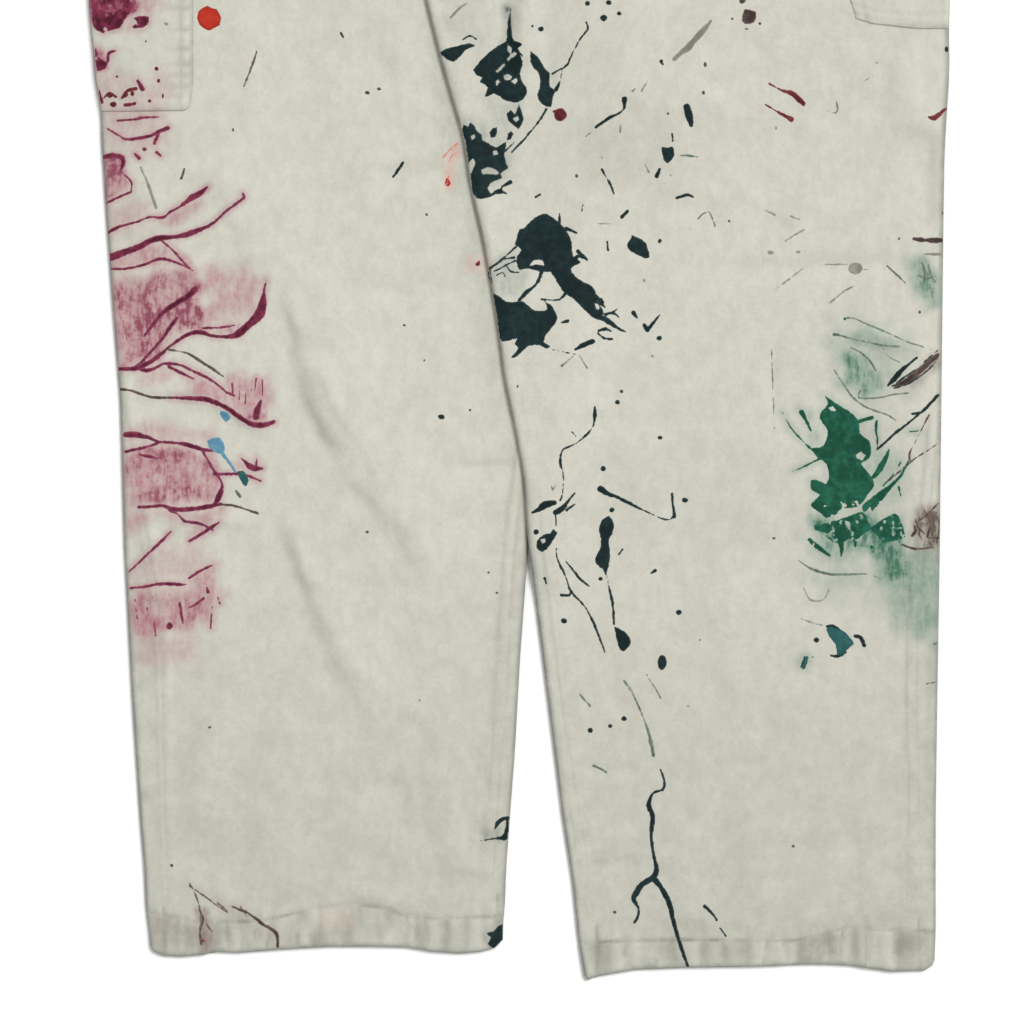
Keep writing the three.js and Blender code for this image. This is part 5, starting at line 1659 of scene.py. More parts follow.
            [(110, 487.5, 0.8), (114.5, 493, 0.6), (119, 497.5, 0.9), (122.5, 498.5, 0.6),
             (125, 493, 0.7), (126.5, 489, 0.8)],
            [(205, 570, 0.8), (206, 564.5, 0.8), (204.5, 562.5, 0.9), (199.5, 563.5, 0.6)],
            [(-76.5, 528, 1), (-81, 523, 0.8)],
            [(67.5, 194.5, 1.2), (75.5, 181, 0.9), (82, 165, 1.2), (85, 154, 1.8), (86.5, 146, 1.5)],
            [(260.5, 465.5, 1), (262.5, 459.5, 1.7), (262, 453, 1.3)],
            [(264.5, 464.5, 0.8), (266.5, 457, 1.2), (269, 453, 0.9)],
            [(258.5, 457.5, 0.7), (263, 455, 1.1), (269.5, 457, 0.8)],
            [(265.5, 451, 0.7), (267.5, 443, 0.9)], [(-184, 317.5, 1.3), (-181.5, 314, 1.7)],
        ],
    },
    "teal": {
        "hex": "#22504f", "worn": "#305f5c", "thin": "#2d4f4c", "thinMm": 0.9, "narrow": 0.9,
        "strokes": [
            [(186, 209.5, 1.3), (184.5, 206.5, 2.3), (183.5, 203, 1.3)],
        ],
        "pools": [
            [(198.5, 228), (201, 230.5), (205, 229), (211, 226), (217, 218.5), (216, 217.5), (212, 214.5),
             (209.5, 210.5), (202, 209.5), (205, 211), (204, 218.5), (200.5, 223)],
            [(-183.5, 330), (-179, 330.5), (-175.5, 324), (-177.5, 320.5), (-181, 324)],
        ],
    },
    "blue": {
        "hex": "#4f7d9b", "worn": "#6793a5", "thin": "#7ba3ab", "thinMm": 0.9, "narrow": 0.9,
        "strokes": [
            [(-193, 342, 1.6), (-188.5, 336, 1.1), (-184.5, 330, 1.1)],
        ],
        "pools": [
            [(-203, 350), (-199, 352), (-195, 353), (-192, 348.5), (-191, 344), (-195, 341.5),
             (-199, 343), (-202, 346)],
            [(-194.5, 369.5), (-189, 368.5), (-187, 365), (-190.5, 362), (-194, 365.5)],
        ],
        "drops": [
            (-193, 367.5, 1.7, 1.4), (-191, 366, 2.6, 2.6),
        ],
    },
    "red": {
        "hex": "#ad2a1b", "worn": "#b53a28", "thin": "#852a20", "thinMm": 1.8, "narrow": 0.9,
        "pools": [
            [(-209.5, 624.5), (-208.5, 628.5), (-205.5, 630.5), (-203, 632), (-200, 630.5), (-196.5, 630),
             (-194.5, 626.5), (-193.5, 623.5), (-194.5, 619.5), (-197.5, 618), (-201.5, 616),
             (-205.5, 617.5), (-208, 620)],
        ],
        "drops": [
            (-47, 517, 2.1, 2.1), (-27, 466, 1, 1), (-47, 518, 1.4, 2.4),
        ],
    },
    "salmon": {
        "hex": "#bd6553", "worn": "#d08f7e", "thin": "#d6a898", "thinMm": 0.8, "narrow": 0.9,
        "strokes": [
            [(-47.5, 516.5, 1.9), (-46, 521.5, 0.6)],
            [(-50, 533.5, 0.6), (-45, 539, 0.8), (-39, 544, 0.6)],
            [(-46, 530.5, 0.5), (-44, 535, 0.8), (-41, 537, 0.5)],
        ],
    },
    "maroon": {
        "hex": "#501a22", "worn": "#703537", "thin": "#87504f", "thinMm": 0.9, "narrow": 0.9,
        "strokes": [
            [(161.5, 581.5, 0.8), (169, 577.5, 0.9), (175.5, 575.5, 1.8), (180, 572, 2.2),
             (183.5, 568.5, 1.9)],
            [(159, 568, 0.6), (165.5, 564, 0.8), (172, 560.5, 1.4), (175.5, 558.5, 2.3)],
            [(264.5, 559.5, 0.8), (268.5, 559, 2.3), (273, 563, 1.4), (276.5, 565.5, 0.9)],
            [(-270, 572, 0.8), (-266, 575, 1.5), (-262, 573, 1)],
            [(-258, 572, 1), (-254, 577, 1.3), (-249, 578, 1.5)],
        ],
        "drops": [
            (26, 561, 4.3, 4.3), (22.5, 563, 1.7, 1.2), (-261, 586, 1, 1.1), (-235.5, 591, 1.5, 1.4),
            (-234, 583, 1.1, 1.4), (-240, 570, 1.5, 1.4), (-265.5, 574, 2.3, 2), (-255.5, 574, 1.8, 1.6),
            (-251, 575, 1.5, 2), (-263.5, 568, 2.1, 2), (-243.5, 539, 1.5, 1.4), (-242.5, 609, 0.8, 1.4),
            (-231.5, 573, 0.8, 1.9),
        ],
    },
    "umber": {
        "hex": "#3a2e2a", "worn": "#645350", "thin": "#857970", "thinMm": 0.9, "narrow": 0.76,
        "strokes": [
            [(-170.5, 602.5, 0.8), (-173.5, 593.5, 1.2), (-177, 584.5, 1), (-179, 579.5, 0.6)],
            [(255.5, 481, 1.8), (259, 480.5, 2.3), (263, 480, 1.7), (266.5, 480, 2.6), (273, 480, 2.6)],
            [(265, 367, 0.6), (262, 361, 0.8), (255.5, 348, 0.6), (252.5, 342, 1), (252.5, 337.5, 0.8)],
            [(271, 348.5, 0.5), (263, 343, 0.5), (256.5, 339, 0.6), (250.5, 334, 0.9), (239, 324.5, 0.9)],
            [(271, 309.5, 0.9), (265, 303.5, 1), (259, 298.5, 0.9)],
            [(271, 287, 1.6), (265.5, 287.5, 0.9)],
            [(254, 288.5, 1.3), (256.5, 292, 1.7), (255.5, 295, 1)],
            [(260, 297, 0.8), (258.5, 290.5, 1), (261, 284.5, 0.8)],
            [(263.5, 217.5, 0.5), (271, 219, 0.8)], [(263.5, 192.5, 0.5), (271, 194, 0.8)],
            [(-214, 63, 0.6), (-210, 55, 0.9), (-207.5, 46.5, 0.8), (-207.5, 37, 0.6)],
            [(-181.5, 48.5, 0.6), (-177, 41.5, 0.8)],
            [(-229, 409.5, 1.2), (-221, 408, 1), (-214, 406, 1.3), (-204.5, 400, 1.3),
             (-197.5, 395.5, 1.3), (-192, 391.5, 0.8)],
            [(-260, 383.5, 1.6), (-251.5, 382.5, 1.3), (-243.5, 379.5, 1.2), (-235, 378, 1.2),
             (-226, 378, 1.2)],
            [(-194, 309, 1.2), (-185.5, 308, 1.2), (-179, 306, 1.2), (-170, 303, 1.2)],
            [(-217.5, 526.5, 0.9), (-219.5, 520, 1.4)],
            [(-187.5, 48.5, 0.8), (-181.5, 46, 1.3), (-175.5, 43.5, 1.4), (-166.5, 36.5, 1.6),
             (-158, 31, 1.7), (-157, 22, 1.2)], [(-198.5, 52.5, 0.6), (-194, 49, 0.9), (-189, 44.5, 0.6)],
            [(270.5, 405.5, 2.2), (266.5, 402, 2.6), (262, 398, 2.6), (254, 391.5, 2.7), (249, 388, 2.6),
             (241.5, 385.5, 1.3)], [(262, 305, 0.8), (266, 297, 1.4), (264, 288, 1.3)],
            [(268, 304, 1), (272, 296, 1.4), (270, 284, 1.1)],
            [(256, 300, 0.7), (258, 294, 1.2), (262, 290, 1)],
            [(247, 283, 0.7), (256, 280, 1.1), (268, 281, 1)],
            [(-214, 61.5, 0.7), (-204, 54.5, 0.8), (-194.5, 47.5, 0.7), (-188, 43.5, 0.6)],
            [(-207.5, 45.5, 1.2), (-205.5, 39.5, 1.6), (-207.5, 33, 1.2), (-206.5, 24, 1.4)],
            [(-203.5, 37, 0.8), (-199.5, 32, 1)],
        ],
        "pools": [
            [(145.5, 630.5), (148.5, 629.5), (153, 628), (152, 621), (145.5, 620), (143.5, 622.5)],
        ],
        "drops": [
            (137.5, 623.5, 1.2, 1.2), (155.5, 620.5, 1.3, 1), (147, 617, 1.3, 0.8), (66, 382, 1.3, 1.3),
            (-99, 575.5, 1.6, 1.3), (-91.5, 578, 1.8, 1.3), (-60.5, 496.5, 1, 1), (-75, 425, 1.2, 1),
            (-62, 402, 1, 1), (-99, 291, 1.2, 1), (-20.5, 264.5, 1.2, 1.2), (-15, 251.5, 1.3, 1),
            (-201, 164.5, 1.2, 1), (-225.5, 75, 1.2, 1.3), (-186, 551.5, 1, 1.6), (61.5, 44.5, 1.2, 1),
            (177, 87.5, 1.2, 1), (164.5, 287, 1.3, 1), (-1.5, 385.5, 1, 1.3), (120, 594, 1.3, 1.7),
            (119, 575.5, 1.2, 1.6), (135.5, 492.5, 1, 1), (259, 433.5, 1.2, 1.2), (245.5, 481, 1, 1.3),
            (274, 497.5, 1, 1.6), (-32.5, 370, 0.9, 0.9), (-142.5, 182, 0.8, 0.8), (144, 635, 2.2, 1.7),
            (36.5, 521.5, 1.2, 1.2),
        ],
    },
    "grey": {
        "hex": "#77756c", "worn": "#949186", "thin": "#a5a297", "thinMm": 0.9, "narrow": 0.8,
        "strokes": [
            [(124, 622.5, 0.9), (120.5, 618, 2.1), (116.5, 613.5, 2.7), (112, 608.5, 2.6),
             (109, 605, 2.9), (104.5, 601.5, 2.2), (100, 597.5, 1.6)],
            [(262, 471, 0.9), (267.5, 471, 1.3), (273, 471, 1.3)],
            [(-45, 623.5, 1), (-40, 629, 1.3), (-34.5, 633, 0.8)],
            [(193, 461, 0.5), (198.5, 464.5, 0.6), (204, 464.5, 0.9), (212.5, 464.5, 0.5)],
            [(223, 461, 0.6), (228, 461.5, 0.4)], [(159, 499.5, 0.9), (165.5, 496.5, 1.2)],
            [(175.5, 495.5, 1), (181, 493.5, 1.2)],
            [(184.5, 487, 0.6), (178, 483.5, 0.9), (172, 479.5, 0.8)],
            [(183.5, 462, 0.6), (172, 453, 0.8), (165.5, 448, 0.6)],
            [(217, 450.5, 0.6), (210, 447, 1), (201, 439.5, 0.8)],
            [(184, 254.5, 0.6), (188, 247, 0.9), (196.5, 247, 0.8), (200.5, 254, 0.7)],
            [(73, 576.5, 1.2), (75, 578.5, 0.6)],
            [(78.5, 576, 0.9), (80.5, 579.5, 0.8), (82.5, 583, 0.5)],
            [(81, 529.5, 0.6), (83.5, 524, 0.9)], [(50, 490.5, 0.5), (59.5, 490.5, 0.5)],
            [(229, 587, 0.9), (221.5, 582, 0.6)],
            [(-246, 527.5, 1), (-240.5, 515, 1.4), (-236, 501, 1.4)],
            [(69.5, 193, 0.6), (76, 182.5, 0.6)],
        ],
        "drops": [
            (217.5, 462, 4.9, 4.1), (162.5, 472, 2.3, 1.6), (180.5, 472.5, 1.8, 1.3),
            (-229, 620, 1.7, 1.3), (86, 405, 1.4, 1), (80.5, 454, 1.2, 1.3), (93.5, 517, 1, 0.8),
            (97.5, 522, 0.9, 0.8), (166, 553, 0.9, 1.3), (231.5, 595, 1.4, 0.8), (53, 533.5, 0.8, 1.2),
            (109, 178, 1, 0.9), (-65, 182, 0.9, 0.8), (116.5, 221, 0.9, 0.8),
        ],
    },
}


def paintField(marks, seed):
    # How deep every point of a grid lies inside the marks.
    shapes = marks.get("strokes", []) + marks.get("pools", [])
    reach = [np.array(shape, float)[:, :2] for shape in shapes]
    for x, up, rx, rUp in marks.get("drops", []):
        reach.append(np.array([(x - max(rx, rUp), up - max(rx, rUp)), (x + max(rx, rUp), up + max(rx, rUp))]))
    low = np.min([r.min(axis=0) for r in reach], axis=0) - 9
    high = np.max([r.max(axis=0) for r in reach], axis=0) + 9
    g = paintGrid
    step = g["step"]
    xs = np.arange(low[0], high[0], step)
    ups = np.arange(low[1], high[1], step)
    field = np.full((len(ups), len(xs)), -5.0)

    def window(points, margin):
        p = np.array(points, float)
        a = p[:, :2].min(axis=0) - margin
        b = p[:, :2].max(axis=0) + margin
        c0, c1 = np.searchsorted(xs, [a[0], b[0]])
        r0, r1 = np.searchsorted(ups, [a[1], b[1]])
        view = (slice(r0, r1), slice(c0, c1))
        gx, gUp = np.meshgrid(xs[c0:c1], ups[r0:r1])
        return view, gx, gUp

    for stroke in marks.get("strokes", []):
        line = curved(stroke, 2.5)
        line[:, 2] = np.maximum(line[:, 2] * marks["narrow"], g["thinnest"])
        for a, b in zip(line[:-1], line[1:]):
            view, gx, gUp = window([a, b], max(a[2], b[2]) + 2)
            dx, dUp = (b - a)[:2]
            t = np.clip(((gx - a[0]) * dx + (gUp - a[1]) * dUp) / max(dx * dx + dUp * dUp, 1e-9), 0, 1)
            gap = np.hypot(gx - a[0] - t * dx, gUp - a[1] - t * dUp)
            field[view] = np.maximum(field[view], a[2] + (b[2] - a[2]) * t - gap)
    for pool in marks.get("pools", []):
        outline = curved(list(pool) + [pool[0]], 3)
        view, gx, gUp = window(outline, 3)
        field[view] = np.maximum(field[view], depthInside(gx, gUp, outline))
    for x, up, rx, rUp in marks.get("drops", []):
        view, gx, gUp = window([(x - rx, up - rUp), (x + rx, up + rUp)], 2)
        inside = 1 - np.hypot((gx - x) / rx, (gUp - up) / rUp)
        field[view] = np.maximum(field[view], inside * min(rx, rUp))
    gx, gUp = np.meshgrid(xs, ups)
    near = np.abs(field) < 2.5
    at = (gx[near], gUp[near])
    ragged = softNoise(*at, g["raggedSize"], seed) + 0.7 * softNoise(*at, 4.2, seed + 1)
    thin = np.clip(field[near] + 1.2, 0.3, 1.2) / 1.2
    field[near] += g["ragged"] * ragged * thin
    for gap in marks.get("gaps", []):
        view, vx, vUp = window(gap, 3)
        inside = depthInside(vx, vUp, gap) + 0.4 * softNoise(vx, vUp, 2, seed + 2)
        field[view] = np.minimum(field[view], -inside)
    for share, size, outline in marks.get("dry", []):  # a dry brush skips over the weave
        view, vx, vUp = window(outline, 3)
        inside = smooth(depthInside(vx, vUp, outline) / 3 + 0.5)
        skipped = softNoise(vx, vUp * 0.7, size, seed + 3) + 0.5 * softNoise(vx, vUp, size * 0.45, seed + 4)
        bare = (1 - 2 * share - skipped) * size
        field[view] = np.minimum(field[view], mix(9, bare, inside))
    return xs, ups, field


def paintFilm(colour, marks, seed, tree, material):
    xs, ups, field = paintField(marks, seed)
    inside = field > 0
    corners = [inside[:-1, :-1], inside[:-1, 1:], inside[1:, 1:], inside[1:, :-1]]
    cells = np.argwhere(corners[0] | corners[1] | corners[2] | corners[3])
    g = paintGrid
    index = {}
    points = []
    heights = []
    depths = []

    def corner(r, c):
        key = (r, c, r, c)
        if key not in index:
            index[key] = len(points)
            points.append((xs[c], ups[r]))
            heights.append(g["sink"] + g["lift"] * float(smooth(field[r, c] / g["edge"])))
            depths.append(float(field[r, c]))
        return index[key]

    def crossing(a, b):
        key = (*a, *b) if a < b else (*b, *a)
        if key not in index:
            fa = field[a]
            fb = field[b]
            t = fa / (fa - fb)
            index[key] = len(points)
            points.append((mix(xs[a[1]], xs[b[1]], t), mix(ups[a[0]], ups[b[0]], t)))
            heights.append(g["sink"])
            depths.append(0.0)
        return index[key]

    faces = []
    for r, c in cells.tolist():
        ring = [(r, c), (r, c + 1), (r + 1, c + 1), (r + 1, c)]
        face = []
        for a, b in zip(ring, ring[1:] + ring[:1]):
            if inside[a]:
                face.append(corner(*a))
            if inside[a] != inside[b]:
                face.append(crossing(a, b))
        if len(face) >= 3:
            faces.append(face)
    found = [heightAt(tree, x, up) for x, up in points]
    kept = []
    for face in faces:
        zs = [found[k] for k in face]
        if all(z is not None for z in zs) and max(zs) - min(zs) < g["climb"]:
            kept.append(face)
    used = sorted({k for face in kept for k in face})
    renumber = {k: n for n, k in enumerate(used)}
    placed = [(points[k][0], points[k][1], found[k] + heights[k]) for k in used]
    kept = [[renumber[k] for k in face] for face in kept]
    piece = addMesh(f"{colour}_paint", placed, kept, material)
    thin = [1 - float(smooth(depths[k] / marks["thinMm"])) for k in used]
    layer = piece.data.attributes.new("thin", "FLOAT", "POINT")
    layer.data.foreach_set("value", thin)
    return piece


def hexColour(text):
    channels = [int(text[k:k + 2], 16) / 255 for k in (1, 3, 5)]
    linear = [c / 12.92 if c <= 0.04045 else ((c + 0.055) / 1.055) ** 2.4 for c in channels]
    return (*linear, 1)


def addNode(tree, kind, inputs=None, settings=None, output=0):
    # Adds a node and gives one of its outputs. An input that is a node's output is linked, any other is set.
    node = tree.nodes.new(kind)
    for key, value in (settings or {}).items():
        setattr(node, key, value)
    for key, value in (inputs or {}).items():
        if isinstance(value, bpy.types.NodeSocket):
            tree.links.new(value, node.inputs[key])
        else:
            node.inputs[key].default_value = value
    return node.outputs[output] if node.outputs else None


# Settings that several nodes share
multiply = {"operation": "MULTIPLY"}
multiplyAdd = {"operation": "MULTIPLY_ADD"}
smallest = {"operation": "MINIMUM"}
softStep = {"interpolation_type": "SMOOTHSTEP"}
blend = {"data_type": "RGBA"}


def startMaterial(name, noises):
    # A new material with its noises: size of the bumps in mm, detail, roughness, and how much longer they are
    # along x and y.
    material = bpy.data.materials.new(name)
    material.use_nodes = True
    tree = material.node_tree
    tree.nodes.clear()
    place = addNode(tree, "ShaderNodeTexCoord", output="Object")
    made = {}
    for key, (sizeMm, detail, rough, longX, longY) in noises.items():
        drawn = addNode(tree, "ShaderNodeMapping", {"Vector": place, "Scale": (1 / longX, 1 / longY, 1)})
        inputs = {"Vector": drawn, "Scale": 500 / sizeMm, "Detail": detail, "Roughness": rough}
        made[key] = addNode(tree, "ShaderNodeTexNoise", inputs)
    return material, tree, place, made


def finishMaterial(tree, surface, relief=None):
    # surface and relief are the inputs of the shader and of its bump
    if relief:
        surface["Normal"] = addNode(tree, "ShaderNodeBump", relief)
    shader = addNode(tree, "ShaderNodeBsdfPrincipled", surface)
    addNode(tree, "ShaderNodeOutputMaterial", {"Surface": shader})


# Cotton drill, bull denim weight, washed many times. A woven ground with a slight nap: matt, with soft sheen.
drill = {
    "pale": "#cbcabe",
    "dull": "#bcbbae",
    # grey of grime and of the painted shade in seams, puckers and along edges
    "grimeAndShade": "#7b7a70",
    "grimeAndShadeMost": 0.72,
    "noises": {
        "mottle": (8, 4, 0.5, 1, 1),
        "thread": (3.2, 3, 0.6, 1, 1.7),
        "weave": (1.3, 2, 0.6, 1, 1),  # it and the thread are coarser than the real 0.6 mm, so that they show
        "patchy": (7, 5, 0.66, 1, 1),
        "hatch": (2.1, 4, 0.68, 1, 3.4),
        "fleck": (1.6, 3, 0.6, 1, 1),
        "cloud": (9, 5, 0.62, 1, 1),
    },
    # from where to where a noise counts, and how much of it
    "tone": {"mottle": (0.3, 0.7, 0.3), "thread": (0.3, 0.7, 0.42), "weave": (0.35, 0.65, 0.28)},
    "grain": {"hatch": 0.45, "fleck": 0.2, "cloud": 0.35},
    "roughness": 0.92,
    "sheen": 0.18,
    "bump": 0.35,
    "bumpDepth": 0.0003,
    # colour rubbed into the weave: shade, its darker heart and how even it is, from 0 to 1
    "rubs": {
        "crimson": ("#a4566c", "#7c3048", 0.42),
        "green": ("#5c8572", "#246048", 0.5),
        "umber": ("#84736a", "#4f413b", 0.3),
        # grey of stains and of painted shade: the turned edges, and beside the right leg's edge
        "coral": ("#dba090", "#c97a66", 0.4),
        "slateAndShade": ("#7c847d", "#4c5551", 0.3),
    },
    "rubMost": 0.95,
}


def drillMaterial():
    d = drill
    material, tree, place, noise = startMaterial("cotton drill, woven and washed", d["noises"])
    tone = 0
    for key, (low, high, weight) in d["tone"].items():
        spread = {"Value": noise[key], "From Min": low, "From Max": high}
        spread = addNode(tree, "ShaderNodeMapRange", spread, softStep)
        tone = addNode(tree, "ShaderNodeMath", {0: spread, 1: weight, 2: tone}, multiplyAdd)
        if key == "thread":
            raised = addNode(tree, "ShaderNodeMath", {0: spread, 1: 0.6, 2: noise["weave"]}, multiplyAdd)
    colours = {0: tone, 6: hexColour(d["dull"]), 7: hexColour(d["pale"])}
    colour = addNode(tree, "ShaderNodeMix", colours, blend, 2)

    # grime and painted shade, as grey from the vertices, broken into patches
    grey = addNode(tree, "ShaderNodeAttribute", None, {"attribute_name": "grimeAndShade"}, "Fac")
    patches = {"Value": noise["patchy"], "From Min": 0.28, "From Max": 0.6, "To Min": 0.5 * d["grimeAndShadeMost"]}
    patchy = addNode(tree, "ShaderNodeMapRange", {**patches, "To Max": d["grimeAndShadeMost"]}, softStep)
    dirtAndShade = addNode(tree, "ShaderNodeMath", {0: grey, 1: patchy}, multiply)
    colour = addNode(tree, "ShaderNodeMix", {0: dirtAndShade, 6: colour, 7: hexColour(d["grimeAndShade"])}, blend, 2)

    grain = 0
    for key, weight in d["grain"].items():
        grain = addNode(tree, "ShaderNodeMath", {0: noise[key], 1: weight, 2: grain}, multiplyAdd)
    spread = {"Value": grain, "From Min": 0.34, "From Max": 0.66}
    grain = addNode(tree, "ShaderNodeMapRange", spread, softStep)
    for name, (shade, heart, even) in d["rubs"].items():
        strength = addNode(tree, "ShaderNodeAttribute", None, {"attribute_name": name + "Rub"}, "Fac")
        uneven = addNode(tree, "ShaderNodeMath", {0: grain, 1: 1.55 * (1 - even), 2: even}, multiplyAdd)
        rubbed = addNode(tree, "ShaderNodeMath", {0: strength, 1: uneven}, multiply)
        rubbed = addNode(tree, "ShaderNodeMath", {0: rubbed, 1: d["rubMost"]}, smallest)
        spread = {"Value": rubbed, "From Min": 0.58, "From Max": 1.05}
        deep = addNode(tree, "ShaderNodeMapRange", spread, softStep)
        ink = addNode(tree, "ShaderNodeMix", {0: deep, 6: hexColour(shade), 7: hexColour(heart)}, blend, 2)
        colour = addNode(tree, "ShaderNodeMix", {0: rubbed, 6: colour, 7: ink}, blend, 2)
    surface = {
        "Base Color": colour, "Roughness": d["roughness"], "Sheen Weight": d["sheen"], "Sheen Roughness": 0.6,
        "IOR": 1.45, "Specular IOR Level": 0.2,
    }
    finishMaterial(tree, surface, {"Height": raised, "Strength": d["bump"], "Distance": d["bumpDepth"]})
    return material


# Dried house paint: thicker and smoother than the cloth, dull where it was rubbed
paintLook = {
    "noises": {"worn": (2.4, 3, 0.6, 1, 1), "patch": (9, 3, 0.55, 1, 1)},
    "tone": {"worn": 0.55, "patch": 0.45},
    "thinMost": 0.8,
    "roughness": 0.62,
}


def paintMaterial(name, marks):
    p = paintLook
    material, tree, place, noise = startMaterial(f"{name} paint, spattered and dried", p["noises"])
    tone = 0
    for key, weight in p["tone"].items():
        tone = addNode(tree, "ShaderNodeMath", {0: noise[key], 1: weight, 2: tone}, multiplyAdd)
    tone = addNode(tree, "ShaderNodeMapRange", {"Value": tone, "From Min": 0.42, "From Max": 0.66}, softStep)
    colours = {0: tone, 6: hexColour(marks["hex"]), 7: hexColour(marks["worn"])}
    colour = addNode(tree, "ShaderNodeMix", colours, blend, 2)
    thin = addNode(tree, "ShaderNodeAttribute", None, {"attribute_name": "thin"}, "Fac")
    thin = addNode(tree, "ShaderNodeMath", {0: thin, 1: p["thinMost"]}, multiply)
    colour = addNode(tree, "ShaderNodeMix", {0: thin, 6: colour, 7: hexColour(marks["thin"])}, blend, 2)
    surface = {"Base Color": colour, "Roughness": p["roughness"], "IOR": 1.48, "Specular IOR Level": 0.1}
    finishMaterial(tree, surface, {"Height": noise["worn"], "Strength": 0.3, "Distance": 0.0003})
    return material


# Cotton tape, woven with a fine rib: the straps
webbing = {
    "pale": "#cdcabd", "dull": "#b6b2a4", "ribMm": 1.6, "roughness": 0.9, "rib": 0.4, "mottle": 0.6,
    "noises": {"mottle": (12, 4, 0.5, 1, 1)},
}


def webbingMaterial():
    w = webbing
    material, tree, place, noise = startMaterial("cotton webbing, ribbed and washed", w["noises"])
    ribs = {"Vector": place, "Scale": 314 / w["ribMm"] / 1.4, "Distortion": 1.2, "Detail": 2}
    banded = {"wave_type": "BANDS", "bands_direction": "DIAGONAL"}
    rib = addNode(tree, "ShaderNodeTexWave", ribs, banded, "Fac")
    tone = addNode(tree, "ShaderNodeMath", {0: noise["mottle"], 1: w["mottle"]}, multiply)
    tone = addNode(tree, "ShaderNodeMath", {0: rib, 1: w["rib"], 2: tone}, multiplyAdd)
    colours = {0: tone, 6: hexColour(w["dull"]), 7: hexColour(w["pale"])}
    colour = addNode(tree, "ShaderNodeMix", colours, blend, 2)
    surface = {"Base Color": colour, "Roughness": w["roughness"], "Sheen Weight": 0.12}
    surface["Specular IOR Level"] = 0.25
    finishMaterial(tree, surface, {"Height": rib, "Strength": 0.4, "Distance": 0.0004})
    return material


# Metals: nickel on steel is pale and slightly clouded, brass is warm with dull hollows
metals = {
    "buckle_steel": {
        "name": "nickel plated steel, stamped", "bright": "#c3c0b8", "dull": "#8d8a83", "roughness": 0.34,
        "nodes": ["buckle_left", "buckle_right"],
    },
    "button_brass": {
        "name": "brass, stamped and tumbled", "bright": "#c9b079", "dull": "#8c7748", "roughness": 0.38,
        "nodes": [
            "bib_button_left", "bib_button_right", "side_button_left_1", "side_button_left_2",
            "side_button_right_1", "side_button_right_2",
        ],
    },
}


metalNoises = {"cloud": (6, 4, 0.6, 1, 1), "scratch": (1.2, 3, 0.6, 5, 1)}


def metalMaterial(m):
    material, tree, place, noise = startMaterial(m["name"], metalNoises)
    clouded = {"Value": noise["cloud"], "From Min": 0.35, "From Max": 0.7}
    dull = addNode(tree, "ShaderNodeMapRange", clouded, softStep)
    colours = {0: dull, 6: hexColour(m["bright"]), 7: hexColour(m["dull"])}
    colour = addNode(tree, "ShaderNodeMix", colours, blend, 2)
    worn = {
        "Value": noise["scratch"], "From Min": 0.3, "From Max": 0.7,
        "To Min": m["roughness"] - 0.06, "To Max": m["roughness"] + 0.14,
    }
    rough = addNode(tree, "ShaderNodeMapRange", worn, softStep)
    relief = {"Height": noise["scratch"], "Strength": 0.15, "Distance": 0.0002}
    finishMaterial(tree, {"Base Color": colour, "Metallic": 1, "Roughness": rough}, relief)
    return material


cotton = drillMaterial()
fronts = {side: legFront(side, cotton) for side in legs}
backPieces = {side: legBack(side, cotton) for side in legs}
pocketPieces = {side: pocket(side, cotton) for side in legs}
backBib, bib, waistband = upperPieces(cotton)
bands = {side: strap(side, sign, webbingMaterial()) for side, sign in (("left", -1), ("right", 1))}
print("cloth laid")

for m in metals.values():
    metal = metalMaterial(m)
    for node in m["nodes"]:
        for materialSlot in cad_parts[node].material_slots:
            materialSlot.material = metal
print("fastenings finished")

# colours rubbed in, grey patches and painted shade, written at the vertices
for side in legs:
    addWashesAndShade(fronts[side], side)
    addWashesAndShade(pocketPieces[side], side, onPocket=True)
for piece in [backBib, bib, waistband, *backPieces.values()]:
    addWashesAndShade(piece)
print("cloth rubbed and washed")

tree = treeOf([*fronts.values(), *pocketPieces.values()])
upperTree = treeOf([*fronts.values(), backBib, bib, waistband, *bands.values()])
sewn = {}
for side in legs:
    lines = legStitchLines(side) + pocketStitchLines(side)
    sewn[side] = stitchPiece(f"{side}_leg_stitches", lines, tree, cotton)
    addWashesAndShade(sewn[side])
sewn["upper"] = stitchPiece("upper_stitches", upperStitchLines(), upperTree, cotton)
print("stitched")

for count, (colour, marks) in enumerate(paint.items()):
    paintFilm(colour, marks, 70 + 5 * count, tree, paintMaterial(colour, marks))


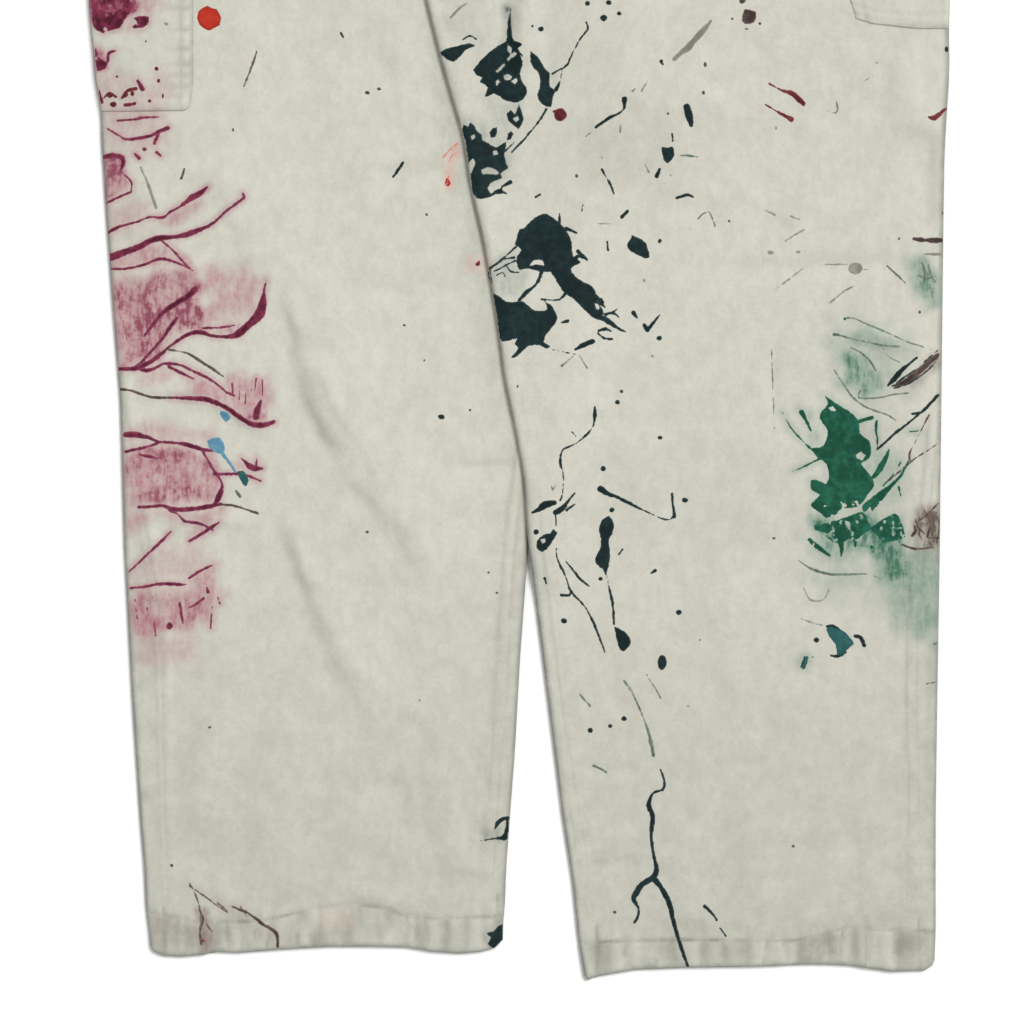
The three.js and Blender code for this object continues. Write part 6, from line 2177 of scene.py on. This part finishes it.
# Floor, studio light and camera
studio = {
    "floor": 4.0,  # metres across
    "floorHex": "#fafaf9",
    "fill": 0.57,  # strength of the even light from all round
    "key": 2.15,  # strength of the large light from the upper right
    "keySteepness": 58,  # degrees above the floor
    "keyBearing": 40,  # degrees from +X towards +Y
    "keySoftness": 24,  # degrees that the light's disc spans
    "cameraHeight": 3.0,
    "frameMm": 663.6,  # what the image spans at the cloth
    "middleX": -5.2,
    "middleY": -471.6,
    "sensorMm": 36,
}


def makeStudio():
    s = studio
    half = s["floor"] / 2
    mesh = bpy.data.meshes.new("floor")
    corners = [(-half, -half, 0), (half, -half, 0), (half, half, 0), (-half, half, 0)]
    mesh.from_pydata(corners, [], [(0, 1, 2, 3)])
    floor = bpy.data.objects.new("floor", mesh)
    floor.location.z = -0.0003
    bpy.context.scene.collection.objects.link(floor)
    material, tree, place, noise = startMaterial("white paper, matt", {})
    paper = {"Base Color": hexColour(s["floorHex"]), "Roughness": 0.95, "Specular IOR Level": 0.1}
    finishMaterial(tree, paper)
    mesh.materials.append(material)

    world = bpy.data.worlds.new("studio")
    bpy.context.scene.world = world
    world.use_nodes = True
    world.node_tree.nodes["Background"].inputs["Color"].default_value = (1, 1, 1, 1)
    world.node_tree.nodes["Background"].inputs["Strength"].default_value = s["fill"]

    light = bpy.data.lights.new("key", "SUN")
    light.energy = s["key"]
    light.angle = np.radians(s["keySoftness"])
    key = bpy.data.objects.new("key", light)
    bpy.context.scene.collection.objects.link(key)
    steep = np.radians(s["keySteepness"])
    bearing = np.radians(s["keyBearing"])
    towards = Vector((np.cos(steep) * np.cos(bearing), np.cos(steep) * np.sin(bearing), np.sin(steep)))
    key.rotation_euler = towards.to_track_quat("Z", "Y").to_euler()
    key.location = towards * 2

    lens = bpy.data.cameras.new("camera")
    lens.sensor_width = s["sensorMm"]
    lens.lens = s["sensorMm"] * (s["cameraHeight"] * 1000 - 4.5) / s["frameMm"]
    camera = bpy.data.objects.new("camera", lens)
    bpy.context.scene.collection.objects.link(camera)
    camera.location = (s["middleX"] / 1000, s["middleY"] / 1000, s["cameraHeight"])
    bpy.context.scene.camera = camera
    bpy.context.scene.view_settings.view_transform = "Standard"


makeStudio()
print("studio lit")
